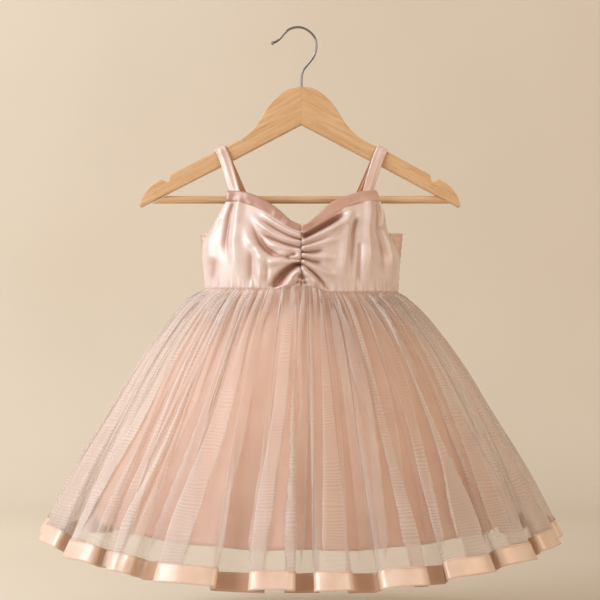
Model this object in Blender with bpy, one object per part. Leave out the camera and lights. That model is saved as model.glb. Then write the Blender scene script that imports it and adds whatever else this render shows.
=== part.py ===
"""Toddler party dress hung on a wooden hanger, in metres.

+Z is up and the front of the dress faces -Y; left is -X. The origin is the inside of the hook's top,
where a rod holds it. Every cloth piece is a thin closed wall with a seam's gap to its neighbours.
"""
import math

import bmesh
import bpy
import numpy as np

MID_X = 0.0035  # middle of the hanger and the dress, beside the hook's resting point
SEAM = 0.00015  # half of the gap left at every seam

# hook and hanger
HOOK_RADIUS = 0.0013
HOOK_SIDES = 8
HOOK_BALL = 0.0021
HOOK_LINE = (  # x, z along the wire's middle, tip first
    (-0.0277, -0.0163), (-0.0241, -0.0150), (-0.0210, -0.0130), (-0.0174, -0.0086),
    (-0.0140, -0.0043), (-0.0101, -0.0012), (-0.0051, 0.0007), (0.0000, 0.0013),
    (0.0054, 0.0004), (0.0107, -0.0023), (0.0152, -0.0061), (0.0183, -0.0102),
    (0.0199, -0.0148), (0.0204, -0.0200), (0.0194, -0.0260), (0.0172, -0.0316),
    (0.0135, -0.0367), (0.0096, -0.0411), (0.0065, -0.0448), (0.0045, -0.0486),
    (0.0036, -0.0540), (0.0035, -0.0649),
)
HANGER_TOP = -0.0653
HANGER_THICK = 0.012
HANGER_BEVEL = 0.0018
HANGER_UPPER = (  # half width, drop below the top, from the middle to the tip
    (0.0000, 0.0000), (0.0085, 0.0008), (0.0167, 0.0037), (0.0240, 0.0085), (0.0298, 0.0139),
    (0.0350, 0.0196), (0.0394, 0.0257), (0.0434, 0.0324), (0.0475, 0.0390), (0.0560, 0.0492),
    (0.0668, 0.0578), (0.0781, 0.0636), (0.0942, 0.0705), (0.1193, 0.0830), (0.1420, 0.0967),
    (0.1437, 0.1041), (0.1460, 0.1046), (0.1515, 0.1017), (0.1622, 0.1086), (0.1705, 0.1194),
    (0.1745, 0.1300),
)
HANGER_LOWER = (  # half width, drop below the top, from the tip back to the middle
    (0.1735, 0.1325), (0.1616, 0.1263), (0.0906, 0.0886), (0.0000, 0.0413),
)
BAR_RADIUS = 0.0042
BAR_DROP = 0.1236
BAR_SIDES = 16

# bodice: its plan at each height, as half width and half depth of an ellipse
CLOTH = 0.0014
WAIST_Z = -0.2870
WAIST_HALF = 0.1056
WAIST_DEPTH = 0.0500
WAIST_LIFT = 0.0035  # the ruched seam draws the waist up at the middle of the front
WAIST_LIFT_REACH = 0.018
FRONT_PLAN = (  # z, half width at the free edge, degrees from the middle to that edge, half depth
    (-0.2870, 0.1056, 90.0, 0.0500), (-0.2680, 0.1074, 90.0, 0.0515),
    (-0.2540, 0.1080, 90.0, 0.0515), (-0.2386, 0.1036, 80.0, 0.0490),
    (-0.2230, 0.0980, 73.0, 0.0455), (-0.2078, 0.0915, 66.0, 0.0415),
    (-0.1930, 0.0860, 61.0, 0.0375), (-0.1790, 0.0812, 58.0, 0.0335),
)
BACK_PLAN = (  # z, half width, half depth
    (-0.2870, 0.1056, 0.0500), (-0.2540, 0.1080, 0.0500), (-0.2260, 0.1108, 0.0490),
)
NECK_SEAM = (  # distance from the middle, z of the seam under the neck band
    (0.0000, -0.2235), (0.0256, -0.2136), (0.0440, -0.2026), (0.0690, -0.1940), (0.0860, -0.1925),
)
NECK_EDGE = (  # distance from the middle, z of the neck band's top edge
    (0.0000, -0.2161), (0.0165, -0.2079), (0.0335, -0.1950), (0.0616, -0.1823), (0.0812, -0.1797),
)
BAND_COLUMNS = 14
FRONT_COLUMNS = (0.0, 0.035, 0.08, 0.14, 0.22, 0.32, 0.45, 0.62, 0.81, 1.0)  # shares, seam to edge
RUCHES = 8
RUCHE_STEPS = 4
RUCHE_HEIGHT = (  # share of the panel's width from the middle seam, height of the gathers
    (0.0, 0.0010), (0.08, 0.0022), (0.22, 0.0017), (0.45, 0.0005), (0.70, 0.0000), (1.0, 0.0000),
)
BACK_TOP_Z = -0.2262
BACK_ROWS = 5
SHIRR_RIBS = 26
SHIRR_STEPS = 4
SHIRR_HEIGHT = 0.0012

# straps: one behind the other over each arm of the hanger
STRAP_WIDTH = 0.0125
STRAP_PATH = (  # x from the middle, y, z, the width's tilt and turn in degrees; band first
    (0.0705, -0.0224, -0.1900, -16.0, 21.0), (0.0728, -0.0193, -0.1800, -17.0, 21.0),
    (0.0775, -0.0142, -0.1640, -18.0, 13.0), (0.0838, -0.0084, -0.1445, -20.0, 4.0),
    (0.0874, -0.0072, -0.1362, -22.0, 0.0), (0.0886, -0.0068, -0.1336, -23.0, 0.0),
    (0.0890, -0.0052, -0.1320, -23.0, 0.0), (0.0892, 0.0000, -0.1316, -23.0, 0.0),
    (0.0890, 0.0052, -0.1320, -23.0, 0.0), (0.0886, 0.0068, -0.1336, -23.0, 0.0),
    (0.0872, 0.0073, -0.1364, -23.0, 0.0), (0.0822, 0.0100, -0.1470, -23.0, -1.0),
    (0.0725, 0.0196, -0.1690, -23.0, -5.0), (0.0595, 0.0325, -0.1990, -23.0, -9.0),
    (0.0490, 0.0408, -0.2230, -22.0, -12.0), (0.0455, 0.0416, -0.2320, -21.0, -12.0),
)

# skirt: every line from waist to hem has one length, so folds that stand out end higher
TULLE = 0.0012
TULLE_LENGTH = 0.323
TULLE_ROWS = (0.0, 0.035, 0.09, 0.17, 0.28, 0.42, 0.58, 0.76, 0.941, 1.0)  # shares of the length
TULLE_FLARE = (  # share of the length, how far the cloth has gone out at the side, at the front
    (0.00, 0.0000, 0.0000), (0.10, 0.0270, 0.0195), (0.20, 0.0475, 0.0335), (0.35, 0.0730, 0.0510),
    (0.50, 0.0965, 0.0665), (0.75, 0.1345, 0.0945), (1.00, 0.1700, 0.1220),
)
WAVES = (  # degrees from the middle of the front to the wave's crest, its height at the hem
    (-90, 0.0115), (-66, 0.0095), (-54, 0.0085), (-44, 0.0095), (-27, 0.0130), (-9, 0.0140),
    (4, 0.0120), (20, 0.0135), (37, 0.0125), (52, 0.0105), (67, 0.0105), (90, 0.0110),
    (109, 0.0110), (123, 0.0105), (138, 0.0120), (154, 0.0130), (170, 0.0125), (184, 0.0130),
    (199, 0.0135), (215, 0.0120), (231, 0.0115), (249, 0.0110),
)
WAVE_STEPS = 8
FRONT_WAVES = 11  # the first eleven lie in front of the side seams
GATHER_HEIGHT = (  # share of the length, height of the two small gathers on each wave
    (0.0, 0.0), (0.05, 0.0012), (0.17, 0.0016), (0.42, 0.0008), (0.76, 0.0), (1.0, 0.0),
)
LINING_INSET = 0.0020
LINING_LENGTH = 0.278
LINING_ROWS = (0.0, 0.06, 0.17, 0.32, 0.52, 0.76, 1.0)
LINING_FLARE = ((0.0, 0.0, 0.0), (0.5, 0.0590, 0.0430), (1.0, 0.1240, 0.0880))
LINING_WAVES = 16
LINING_STEPS = 6
LINING_WAVE_HEIGHT = 0.0065
RIBBON = 0.0010
RIBBON_ROWS = 2  # the ribbon covers the tulle's last rows


def curve(rows, at, column=1):
    """Value in a column of a table, on a smooth line through its rows."""
    keys = np.array([row[0] for row in rows], float)
    values = np.array([row[column] for row in rows], float)
    slopes = np.gradient(values, keys)
    at = min(max(at, keys.min()), keys.max())
    i = min(max(int(np.searchsorted(keys, at)) - 1, 0), len(keys) - 2)
    span = keys[i + 1] - keys[i]
    t = (at - keys[i]) / span
    return float(
        values[i] * (1 + 2 * t) * (1 - t) ** 2
        + slopes[i] * span * t * (1 - t) ** 2
        + values[i + 1] * t * t * (3 - 2 * t)
        + slopes[i + 1] * span * t * t * (t - 1)
    )


def material(name, colour, roughness, metallic=0.0):
    """One material from an sRGB colour in hex."""
    parts = [int(colour[i : i + 2], 16) / 255 for i in (0, 2, 4)]
    linear = [c / 12.92 if c <= 0.04045 else ((c + 0.055) / 1.055) ** 2.4 for c in parts]
    mat = bpy.data.materials.new(name)
    mat.use_nodes = True
    shader = mat.node_tree.nodes["Principled BSDF"]
    shader.inputs["Base Color"].default_value = (*linear, 1)
    shader.inputs["Roughness"].default_value = roughness
    shader.inputs["Metallic"].default_value = metallic
    mat.diffuse_color = (*linear, 1)
    return mat


def add(name, points, faces, smooth, mat):
    """One object from points about the middle, faces and which of them are smooth."""
    mesh = bpy.data.meshes.new(name)
    mesh.from_pydata([(x + MID_X, y, z) for x, y, z in points], [], faces)
    mesh.polygons.foreach_set("use_smooth", smooth)
    work = bmesh.new()
    work.from_mesh(mesh)
    bmesh.ops.recalc_face_normals(work, faces=work.faces)
    work.to_mesh(mesh)
    work.free()
    mesh.materials.append(mat)
    obj = bpy.data.objects.new(name, mesh)
    bpy.context.collection.objects.link(obj)
    return obj


def wall(name, inner, outer, mat):
    """A closed wall between two grids of points, given as rows of columns."""
    rows, columns = inner.shape[:2]
    count = rows * columns
    points = [tuple(p) for p in np.concatenate([outer.reshape(-1, 3), inner.reshape(-1, 3)])]
    faces, smooth = [], []
    for i in range(rows - 1):
        for j in range(columns - 1):
            a, b = i * columns + j, (i + 1) * columns + j
            faces.append((a, a + 1, b + 1, b))
            faces.append((count + a, count + b, count + b + 1, count + a + 1))
            smooth += [True, True]
    edge = [j for j in range(columns)]
    edge += [i * columns + columns - 1 for i in range(1, rows)]
    edge += [(rows - 1) * columns + j for j in range(columns - 2, -1, -1)]
    edge += [i * columns for i in range(rows - 2, 0, -1)]
    for a, b in zip(edge, edge[1:] + edge[:1]):
        faces.append((a, b, count + b, count + a))
        smooth.append(False)
    return add(name, points, faces, smooth, mat)


def grid_normals(grid, level_rows=()):
    """Unit normals of a grid that point away from the body's middle line."""
    down, across = np.gradient(grid, axis=0), np.gradient(grid, axis=1)
    normal = np.cross(across, down)
    for i in level_rows:
        normal[i, :, 2] = 0
    normal /= np.linalg.norm(normal, axis=2, keepdims=True)
    away = np.sum(normal[:, :, :2] * grid[:, :, :2], axis=(0, 1)).sum()
    return normal if away > 0 else -normal


def waist_z(x, front):
    """Height of the waist seam, lifted at the middle of the front."""
    return WAIST_Z + (WAIST_LIFT * math.exp(-((x / WAIST_LIFT_REACH) ** 2)) if front else 0)


# ---------------------------------------------------------------- hanger
def hanger_hook(mat):
    line = np.array([(x - MID_X, 0, z) for x, z in HOOK_LINE])
    along = np.gradient(line, axis=0)
    along /= np.linalg.norm(along, axis=1, keepdims=True)
    radii = [HOOK_RADIUS] * len(line)
    radii[0], radii[1] = HOOK_BALL, HOOK_RADIUS
    line = np.vstack([line[0] - along[0] * HOOK_BALL * 0.8, line])
    along = np.vstack([along[0], along])
    radii = [HOOK_BALL * 0.7] + radii
    points, faces, smooth = [], [], []
    for centre, direction, radius in zip(line, along, radii):
        side = np.cross(direction, (0, 1, 0))
        for k in range(HOOK_SIDES):
            turn = 2 * math.pi * (k + 0.5) / HOOK_SIDES
            points.append(centre + radius * (math.cos(turn) * side + math.sin(turn) * np.array((0, 1, 0))))
    for i in range(len(line) - 1):
        for k in range(HOOK_SIDES):
            a, b = i * HOOK_SIDES + k, i * HOOK_SIDES + (k + 1) % HOOK_SIDES
            faces.append((a, b, b + HOOK_SIDES, a + HOOK_SIDES))
            smooth.append(True)
    last = (len(line) - 1) * HOOK_SIDES
    faces += [tuple(range(HOOK_SIDES)), tuple(range(last, last + HOOK_SIDES))]
    return add("hanger_hook", points, faces, smooth + [False, False], mat)


def hanger_body(mat):
    """The two arms as one flat shaped board with softened edges."""
    right = [(w, -d) for w, d in HANGER_UPPER + HANGER_LOWER]
    outline = np.array(right + [(-w, z) for w, z in right[-2:0:-1]])
    ahead, behind = np.roll(outline, -1, axis=0) - outline, outline - np.roll(outline, 1, axis=0)
    ahead /= np.linalg.norm(ahead, axis=1, keepdims=True)
    behind /= np.linalg.norm(behind, axis=1, keepdims=True)
    inward = np.stack([ahead[:, 1] + behind[:, 1], -ahead[:, 0] - behind[:, 0]], axis=1)
    inward /= np.linalg.norm(inward, axis=1, keepdims=True)
    bevelled = outline + inward * HANGER_BEVEL * 0.55
    half = HANGER_THICK / 2
    layers = ((bevelled, -half), (outline, -half + HANGER_BEVEL), (outline, half - HANGER_BEVEL), (bevelled, half))
    count = len(outline)
    points = [(x, y, z + HANGER_TOP) for ring, y in layers for x, z in ring]
    faces = [tuple(range(count)), tuple(range(3 * count, 4 * count))]
    smooth = [False, False]
    for layer in range(3):
        for k in range(count):
            a, b = layer * count + k, layer * count + (k + 1) % count
            faces.append((a, b, b + count, a + count))
            smooth.append(False)
    return add("hanger_body", points, faces, smooth, mat)


def hanger_bar(mat):
    """A round bar whose ends are cut along the arms' lower edges."""
    (w1, d1), (w2, d2) = HANGER_LOWER[1], HANGER_LOWER[2]
    slope = (w1 - w2) / (d1 - d2)
    points, faces, smooth = [], [], []
    for side in (-1, 1):
        for k in range(BAR_SIDES):
            turn = 2 * math.pi * k / BAR_SIDES
            drop = BAR_DROP - BAR_RADIUS * math.sin(turn)
            reach = w2 + (drop - d2) * slope - 0.0007
            points.append((side * reach, BAR_RADIUS * math.cos(turn), HANGER_TOP - drop))
    for k in range(BAR_SIDES):
        faces.append((k, (k + 1) % BAR_SIDES, BAR_SIDES + (k + 1) % BAR_SIDES, BAR_SIDES + k))
        smooth.append(True)
    faces += [tuple(range(BAR_SIDES)), tuple(range(BAR_SIDES, 2 * BAR_SIDES))]
    return add("hanger_bar", points, faces, smooth + [False, False], mat)


# ---------------------------------------------------------------- bodice
def front_point(turn, z):
    """A point of the front's curved form, by degrees from the middle and height."""
    half = curve(FRONT_PLAN, z, 1) / math.sin(math.radians(curve(FRONT_PLAN, z, 2)))
    depth = curve(FRONT_PLAN, z, 3)
    return (half * math.sin(math.radians(turn)), -depth * math.cos(math.radians(turn)), z)


def front_edge(z):
    """Degrees from the middle to the front's free edge or side seam."""
    return min(curve(FRONT_PLAN, z, 2), 90 - math.degrees(SEAM / WAIST_DEPTH))


def bodice_front(name, side, mat):
    """One half of the front: gathers fan out from the middle seam and die away."""
    rows = RUCHES * RUCHE_STEPS
    grid = np.zeros((rows + 1, len(FRONT_COLUMNS), 3))
    raised = np.zeros((rows + 1, len(FRONT_COLUMNS)))
    for i in range(rows + 1):
        share = i / rows
        edge = front_edge(WAIST_Z + share * (NECK_SEAM[-1][1] - WAIST_Z))
        for j, u in enumerate(FRONT_COLUMNS):
            x = max(curve(FRONT_PLAN, -0.22, 1) * math.sin(math.radians(u * edge)), 0)
            low, high = waist_z(x, True) + SEAM, curve(NECK_SEAM, x) - SEAM
            turn = max(u * edge, math.degrees(SEAM / WAIST_HALF))
            grid[i, j] = front_point(side * turn, low + share * (high - low))
            raised[i, j] = curve(RUCHE_HEIGHT, u) * 0.5 * (1 - math.cos(2 * math.pi * RUCHES * share))
    normal = grid_normals(grid)
    inner = grid - normal * CLOTH / 2
    outer = grid + normal * (CLOTH / 2 + raised[:, :, None])
    return wall(name, inner, outer, mat)


def neck_band(name, side, mat):
    """One half of the flat band along the neck, sewn edge to edge with the front."""
    grid = np.zeros((3, BAND_COLUMNS + 1, 3))
    for j in range(BAND_COLUMNS + 1):
        u = j / BAND_COLUMNS
        for i in range(3):
            x = 0.0860 * u * (1 - 0.056 * i / 2)
            low, high = curve(NECK_SEAM, min(x, 0.0860)) + SEAM, curve(NECK_EDGE, min(x, 0.0812))
            z = low + (high - low) * i / 2
            half = curve(FRONT_PLAN, z, 1) / math.sin(math.radians(curve(FRONT_PLAN, z, 2)))
            turn = math.degrees(math.asin(min(x, curve(FRONT_PLAN, z, 1)) / half))
            grid[i, j] = front_point(side * max(turn, math.degrees(SEAM / WAIST_HALF)), z)
    normal = grid_normals(grid)
    return wall(name, grid - normal * CLOTH / 2, grid + normal * CLOTH / 2, mat)


def bodice_back(mat):
    """The back: shirred ribs raised on its outside over a plain inside."""
    columns = SHIRR_RIBS * SHIRR_STEPS
    grid = np.zeros((BACK_ROWS, columns + 1, 3))
    end = math.degrees(SEAM / WAIST_DEPTH)
    for i in range(BACK_ROWS):
        z = WAIST_Z + SEAM + (BACK_TOP_Z - WAIST_Z - SEAM) * i / (BACK_ROWS - 1)
        for j in range(columns + 1):
            turn = math.radians(-90 + end + (180 - 2 * end) * j / columns)
            grid[i, j] = (
                curve(BACK_PLAN, z, 1) * math.sin(turn), curve(BACK_PLAN, z, 2) * math.cos(turn), z,
            )
    normal = grid_normals(grid)
    ribs = 0.5 * SHIRR_HEIGHT * (1 - np.cos(2 * math.pi * np.arange(columns + 1) / SHIRR_STEPS))
    outer = grid + normal * (CLOTH / 2 + ribs[None, :, None])
    return wall("bodice_back", grid - normal * CLOTH / 2, outer, mat)


def strap(name, side, mat):
    """A flat strap from inside the neck band, over the hanger's arm, to inside the back."""
    path = np.array([(side * row[0], row[1], row[2]) for row in STRAP_PATH])
    along = np.gradient(path, axis=0)
    grid = np.zeros((len(path), 3, 3))
    for i, row in enumerate(STRAP_PATH):
        tilt, turn = math.radians(row[3]), math.radians(row[4])
        level = math.cos(tilt) * STRAP_WIDTH / 2
        rise = math.sin(tilt) * STRAP_WIDTH / 2
        width = np.array((side * level * math.cos(turn), level * math.sin(turn), rise))
        grid[i] = (path[i] - width, path[i], path[i] + width)
    normal = np.cross(along, grid[:, 2] - grid[:, 0])
    normal /= np.linalg.norm(normal, axis=1, keepdims=True)
    normal = normal[:, None, :] * CLOTH / 2
    return wall(name, grid - normal, grid + normal, mat)


# ---------------------------------------------------------------- skirt
def hanging(turns, lift, lengths, half, depth, flare, inset):
    """A grid of lines that hang from the waist, each row farther down by one length of cloth."""
    grid = np.zeros((len(lengths), len(turns), 3))
    for j, degrees in enumerate(turns):
        turn = math.radians(degrees)
        radial = np.array((math.sin(turn), -math.cos(turn)))
        facing = np.array((depth * math.sin(turn), -half * math.cos(turn)))
        facing /= np.linalg.norm(facing)
        front = math.cos(turn) > 0
        z = waist_z(half * math.sin(turn), front) - SEAM
        for i, length in enumerate(lengths):
            share = length / lengths[-1]
            out = np.array((half + curve(flare, share, 1), depth + curve(flare, share, 2))) - inset
            plan = radial * out + facing * lift[i][j]
            if i:
                level = np.linalg.norm(plan - grid[i - 1, j, :2])
                z -= math.sqrt((length - lengths[i - 1]) ** 2 - level**2)
            grid[i, j] = (plan[0], plan[1], z)
    return grid


def ring_walls(names, grid, front_end, inner, outer, mat):
    """Front and back walls of a ring of columns, apart by a seam's gap at the two sides."""
    closed = np.concatenate([grid[:, -2:-1], grid, grid[:, 1:2]], axis=1)
    normal = grid_normals(closed, level_rows=(0,))[:, 1:-1]
    made = []
    for name, first, last in ((names[0], 0, front_end), (names[1], front_end, grid.shape[1] - 1)):
        part, out = grid[:, first : last + 1].copy(), normal[:, first : last + 1]
        away = -SEAM if name == names[0] else SEAM
        part[:, 0, 1] += away
        part[:, -1, 1] += away
        made.append(wall(name, part + out * inner, part + out * outer, mat))
    return made


def tulle_grid():
    """The waved net skirt: large waves grow to the hem, small gathers fade below the waist."""
    crests = list(WAVES) + [(WAVES[0][0] + 360, WAVES[0][1])]
    turns, lift = [], [[] for _ in TULLE_ROWS]
    for (start, low), (end, high) in zip(crests, crests[1:]):
        for k in range(WAVE_STEPS):
            t = k / WAVE_STEPS
            turns.append(start + t * (end - start))
            for i, share in enumerate(TULLE_ROWS):
                grown = 0.02 + 0.98 * share**1.3
                wave = (low + t * (high - low)) * grown * math.cos(2 * math.pi * t)
                lift[i].append(wave + curve(GATHER_HEIGHT, share) * math.cos(4 * math.pi * t))
    turns.append(crests[-1][0])
    for row in lift:
        row.append(row[0])
    lengths = [share * TULLE_LENGTH for share in TULLE_ROWS]
    return hanging(turns, lift, lengths, WAIST_HALF, WAIST_DEPTH, TULLE_FLARE, 0)


def lining_grid():
    """The plain lining: soft even waves, shorter and narrower than the net."""
    columns = LINING_WAVES * LINING_STEPS
    turns = [-90 + 360 * j / columns for j in range(columns + 1)]
    lift = [
        [LINING_WAVE_HEIGHT * share**1.5 * math.cos(2 * math.pi * j / LINING_STEPS) for j in range(columns + 1)]
        for share in LINING_ROWS
    ]
    lengths = [share * LINING_LENGTH for share in LINING_ROWS]
    return hanging(turns, lift, lengths, WAIST_HALF, WAIST_DEPTH, LINING_FLARE, LINING_INSET)


def build():
    for obj in list(bpy.data.objects):
        bpy.data.objects.remove(obj, do_unlink=True)
    steel = material("steel", "C9C9C6", 0.18, 1.0)
    beech = material("beech", "D2A878", 0.45)
    dowel = material("dowel", "D4B28D", 0.5)
    satin = material("satin", "EBCDC2", 0.32)
    band = material("band_satin", "DDB7AB", 0.32)
    strap_satin = material("strap_satin", "EFD2C9", 0.32)
    shirred = material("shirred_satin", "E4C2B6", 0.4)
    tulle = material("tulle", "EED6C8", 0.8)
    lining = material("lining", "DDA586", 0.45)
    ribbon = material("ribbon", "F0C4A8", 0.25)

    hanger_hook(steel)
    hanger_body(beech)
    hanger_bar(dowel)
    for side, hand in ((-1, "left"), (1, "right")):
        bodice_front(f"bodice_front_{hand}", side, satin)
        neck_band(f"neck_band_{hand}", side, band)
        strap(f"strap_{hand}", side, strap_satin)
    bodice_back(shirred)

    grid = tulle_grid()
    seam = FRONT_WAVES * WAVE_STEPS
    ring_walls(("tulle_front", "tulle_back"), grid, seam, -TULLE / 2, TULLE / 2, tulle)
    hem = grid[-RIBBON_ROWS - 1 :]
    near = TULLE / 2 + 2 * SEAM
    closed = np.concatenate([hem[:, -2:-1], hem, hem[:, 1:2]], axis=1)
    face = grid_normals(closed)[:, 1:-1]
    for name, first, last, away in (
        ("ribbon_front", 0, seam, -SEAM), ("ribbon_back", seam, hem.shape[1] - 1, SEAM),
    ):
        part, out = hem[1:, first : last + 1].copy(), face[1:, first : last + 1]
        part[:, (0, -1), 1] += away
        wall(name, part + out * near, part + out * (near + RIBBON), ribbon)
    ring_walls(
        ("lining_front", "lining_back"), lining_grid(), LINING_WAVES * LINING_STEPS // 2,
        -TULLE / 2, TULLE / 2, lining,
    )


build()
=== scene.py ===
"""Toddler party dress of satin and net, hung on a child's wooden hanger."""

import math

import bpy
import numpy as np
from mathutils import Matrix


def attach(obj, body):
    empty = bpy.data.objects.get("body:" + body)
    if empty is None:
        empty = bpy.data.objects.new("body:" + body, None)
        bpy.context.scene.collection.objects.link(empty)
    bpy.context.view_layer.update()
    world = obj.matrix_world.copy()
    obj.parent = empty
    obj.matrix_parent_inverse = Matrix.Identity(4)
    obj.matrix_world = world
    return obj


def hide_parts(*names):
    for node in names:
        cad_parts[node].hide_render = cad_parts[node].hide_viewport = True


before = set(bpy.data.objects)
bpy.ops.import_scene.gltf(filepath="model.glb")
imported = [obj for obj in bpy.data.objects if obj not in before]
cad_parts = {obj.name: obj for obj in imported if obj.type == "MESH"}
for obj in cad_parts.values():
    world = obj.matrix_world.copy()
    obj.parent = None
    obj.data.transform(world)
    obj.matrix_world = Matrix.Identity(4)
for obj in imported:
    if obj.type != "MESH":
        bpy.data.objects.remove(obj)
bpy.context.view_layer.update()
bpy.ops.object.select_all(action="DESELECT")
scene = bpy.context.scene
scene.view_settings.view_transform = "Standard"
scene.cycles.transparent_max_bounces = 24

# ---------------------------------------------------------------- studio
# Seamless warm paper hung behind and swept forward under the dress as a floor, lit by a large soft
# light from the front left, three weaker ones and an even room. The hem hangs just above the floor.
MIDDLE = 0.0035  # the hanger's and the dress's middle, in x
FLOOR = -0.668
PAPER_WIDE, PAPER_TALL = 7.0, 3.6
PAPER_BACK, PAPER_FRONT = 1.27, -2.93  # where the paper stands up and where it ends, in y
PAPER_BEND = 0.42
PAPER_CLOUDS = 0.625  # spacing of the paper's faint clouds


def linear(hex_colour):
    """Linear red, green, blue and alpha of an sRGB colour in hex."""
    parts = [int(hex_colour[i : i + 2], 16) / 255 for i in (0, 2, 4)]
    return (*[c / 12.92 if c <= 0.04045 else ((c + 0.055) / 1.055) ** 2.4 for c in parts], 1.0)


def feed(made, inputs):
    """Gives a node's inputs their numbers, hex colours, or the sockets or nodes that they read."""
    for name, given in inputs.items():
        if isinstance(given, bpy.types.Node):
            given = given.outputs[0]
        if isinstance(given, bpy.types.NodeSocket):
            made.id_data.links.new(given, made.inputs[name])
        else:
            made.inputs[name].default_value = linear(given) if isinstance(given, str) else given


def node(tree, kind, inputs=None, stops=(), **settings):
    """Adds one node with its settings and inputs, and a colour ramp's stops of place and colour."""
    made = tree.nodes.new("ShaderNode" + kind)
    for name, value in settings.items():
        setattr(made, name, value)
    for _ in stops[2:]:
        made.color_ramp.elements.new(0.5)
    for k, (position, hex_colour) in enumerate(stops):
        made.color_ramp.elements[k].position = position
        made.color_ramp.elements[k].color = linear(hex_colour)
    feed(made, inputs or {})
    return made


def material(name, inputs):
    """A material with one Principled shader; returns it, its tree and the shader."""
    made = bpy.data.materials.new(name)
    made.use_nodes = True
    shader = made.node_tree.nodes["Principled BSDF"]
    feed(shader, inputs)
    return made, made.node_tree, shader


# matte background paper, rolled: no gloss, a faint cloudiness in its colour
paper, tree, shader = material("background_paper", {"Roughness": 0.95, "Specular IOR Level": 0.1})
place = node(tree, "TexCoord").outputs["Object"]
cloud = node(tree, "TexNoise", {"Vector": place, "Scale": 1 / PAPER_CLOUDS, "Detail": 3.0})
tint = node(tree, "ValToRGB", {"Fac": cloud}, stops=((0.3, "D6CFC0"), (0.7, "DCD5C7")))
feed(shader, {"Base Color": tint})
# clear from behind, so that the dress is seen from every side
behind = node(tree, "NewGeometry").outputs["Backfacing"]
clear = node(tree, "BsdfTransparent")
one_sided = node(tree, "MixShader", {0: behind, 1: shader, 2: clear})
feed(tree.nodes["Material Output"], {"Surface": one_sided})


def pick_edges(mesh, wanted):
    """Selects the edges with both ends where they are wanted."""
    for edge in mesh.edges:
        edge.select = all(wanted(mesh.vertices[i].co) for i in edge.vertices)


bpy.ops.mesh.primitive_plane_add(size=1, location=(0, 0, FLOOR))
backdrop = bpy.context.object
backdrop.name = "backdrop"
bpy.ops.object.mode_set(mode="EDIT")
bpy.ops.transform.resize(value=(PAPER_WIDE, 1.0, 1.0))
bpy.ops.transform.translate(value=(0, PAPER_BACK - 0.5, 0))
bpy.ops.mesh.select_all(action="DESELECT")
bpy.ops.object.mode_set(mode="OBJECT")
pick_edges(backdrop.data, lambda at: at.y > PAPER_BACK - 0.01)
bpy.ops.object.mode_set(mode="EDIT")
bpy.ops.mesh.select_mode(type="EDGE")
bpy.ops.mesh.extrude_region_move(TRANSFORM_OT_translate={"value": (0, 0, PAPER_TALL)})
bpy.ops.object.mode_set(mode="OBJECT")
pick_edges(backdrop.data, lambda at: abs(at.y - PAPER_BACK) < 0.01 and abs(at.z) < 0.01)
bpy.ops.object.mode_set(mode="EDIT")
bpy.ops.mesh.bevel(offset=PAPER_BEND, segments=16, affect="EDGES")
bpy.ops.mesh.select_all(action="DESELECT")
bpy.ops.object.mode_set(mode="OBJECT")
pick_edges(backdrop.data, lambda at: at.y < PAPER_BACK - 0.9)
bpy.ops.object.mode_set(mode="EDIT")
forward = PAPER_FRONT - (PAPER_BACK - 1)
bpy.ops.mesh.extrude_region_move(TRANSFORM_OT_translate={"value": (0, forward, 0)})
bpy.ops.object.mode_set(mode="OBJECT")
bpy.ops.object.shade_smooth()
bpy.ops.object.transform_apply(location=True, rotation=True, scale=True)
bpy.ops.object.mode_set(mode="EDIT")
bpy.ops.mesh.select_all(action="SELECT")
bpy.ops.mesh.normals_make_consistent(inside=False)
bpy.ops.object.mode_set(mode="OBJECT")
if backdrop.data.polygons[0].normal.z < 0:
    backdrop.data.flip_normals()
backdrop.data.materials.append(paper)

camera_data = bpy.data.cameras.new("camera")
camera_data.lens = 81.8
camera_data.sensor_width = 36
camera = bpy.data.objects.new("camera", camera_data)
camera.location = (0.002, -1.5, -0.2991)
camera.rotation_euler = (math.radians(90), 0, 0)
scene.collection.objects.link(camera)
scene.camera = camera


def soft_light(name, place, aim, wide, tall, power, hex_colour, spread=180):
    """A soft box at a place, turned to its aim; a smaller spread is a grid over its front."""
    light = bpy.data.lights.new(name, "AREA")
    light.shape, light.size, light.size_y, light.energy = "RECTANGLE", wide, tall, power
    light.color = linear(hex_colour)[:3]
    light.spread = math.radians(spread)
    lamp = bpy.data.objects.new(name, light)
    lamp.location = place
    away = np.array(place) - np.array(aim)
    tilt = math.acos(away[2] / np.linalg.norm(away))
    lamp.rotation_euler = (tilt, 0, math.atan2(away[1], away[0]) + math.pi / 2)
    scene.collection.objects.link(lamp)


soft_light("key", (-3.1, -2.0, 0.45), (0, 0, -0.35), 1.8, 3.0, 78, "FCFCFF")
soft_light("top", (-1.5, -0.5, 1.3), (-0.6, -0.1, -0.7), 1.0, 1.0, 20, "FAF8FF")
soft_light("floor", (-1.0, 0.6, 0.8), (-0.6, 0.4, FLOOR), 0.6, 0.6, 0.8, "FFF6EA", 60)
soft_light("right", (2.7, -2.4, 0.6), (0, 0, -0.3), 2.0, 2.0, 30, "FFDCBC")
room = bpy.data.worlds.new("room")
room.use_nodes = True
feed(room.node_tree.nodes["Background"], {"Color": "F1DFCB", "Strength": 0.58})
scene.world = room

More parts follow.
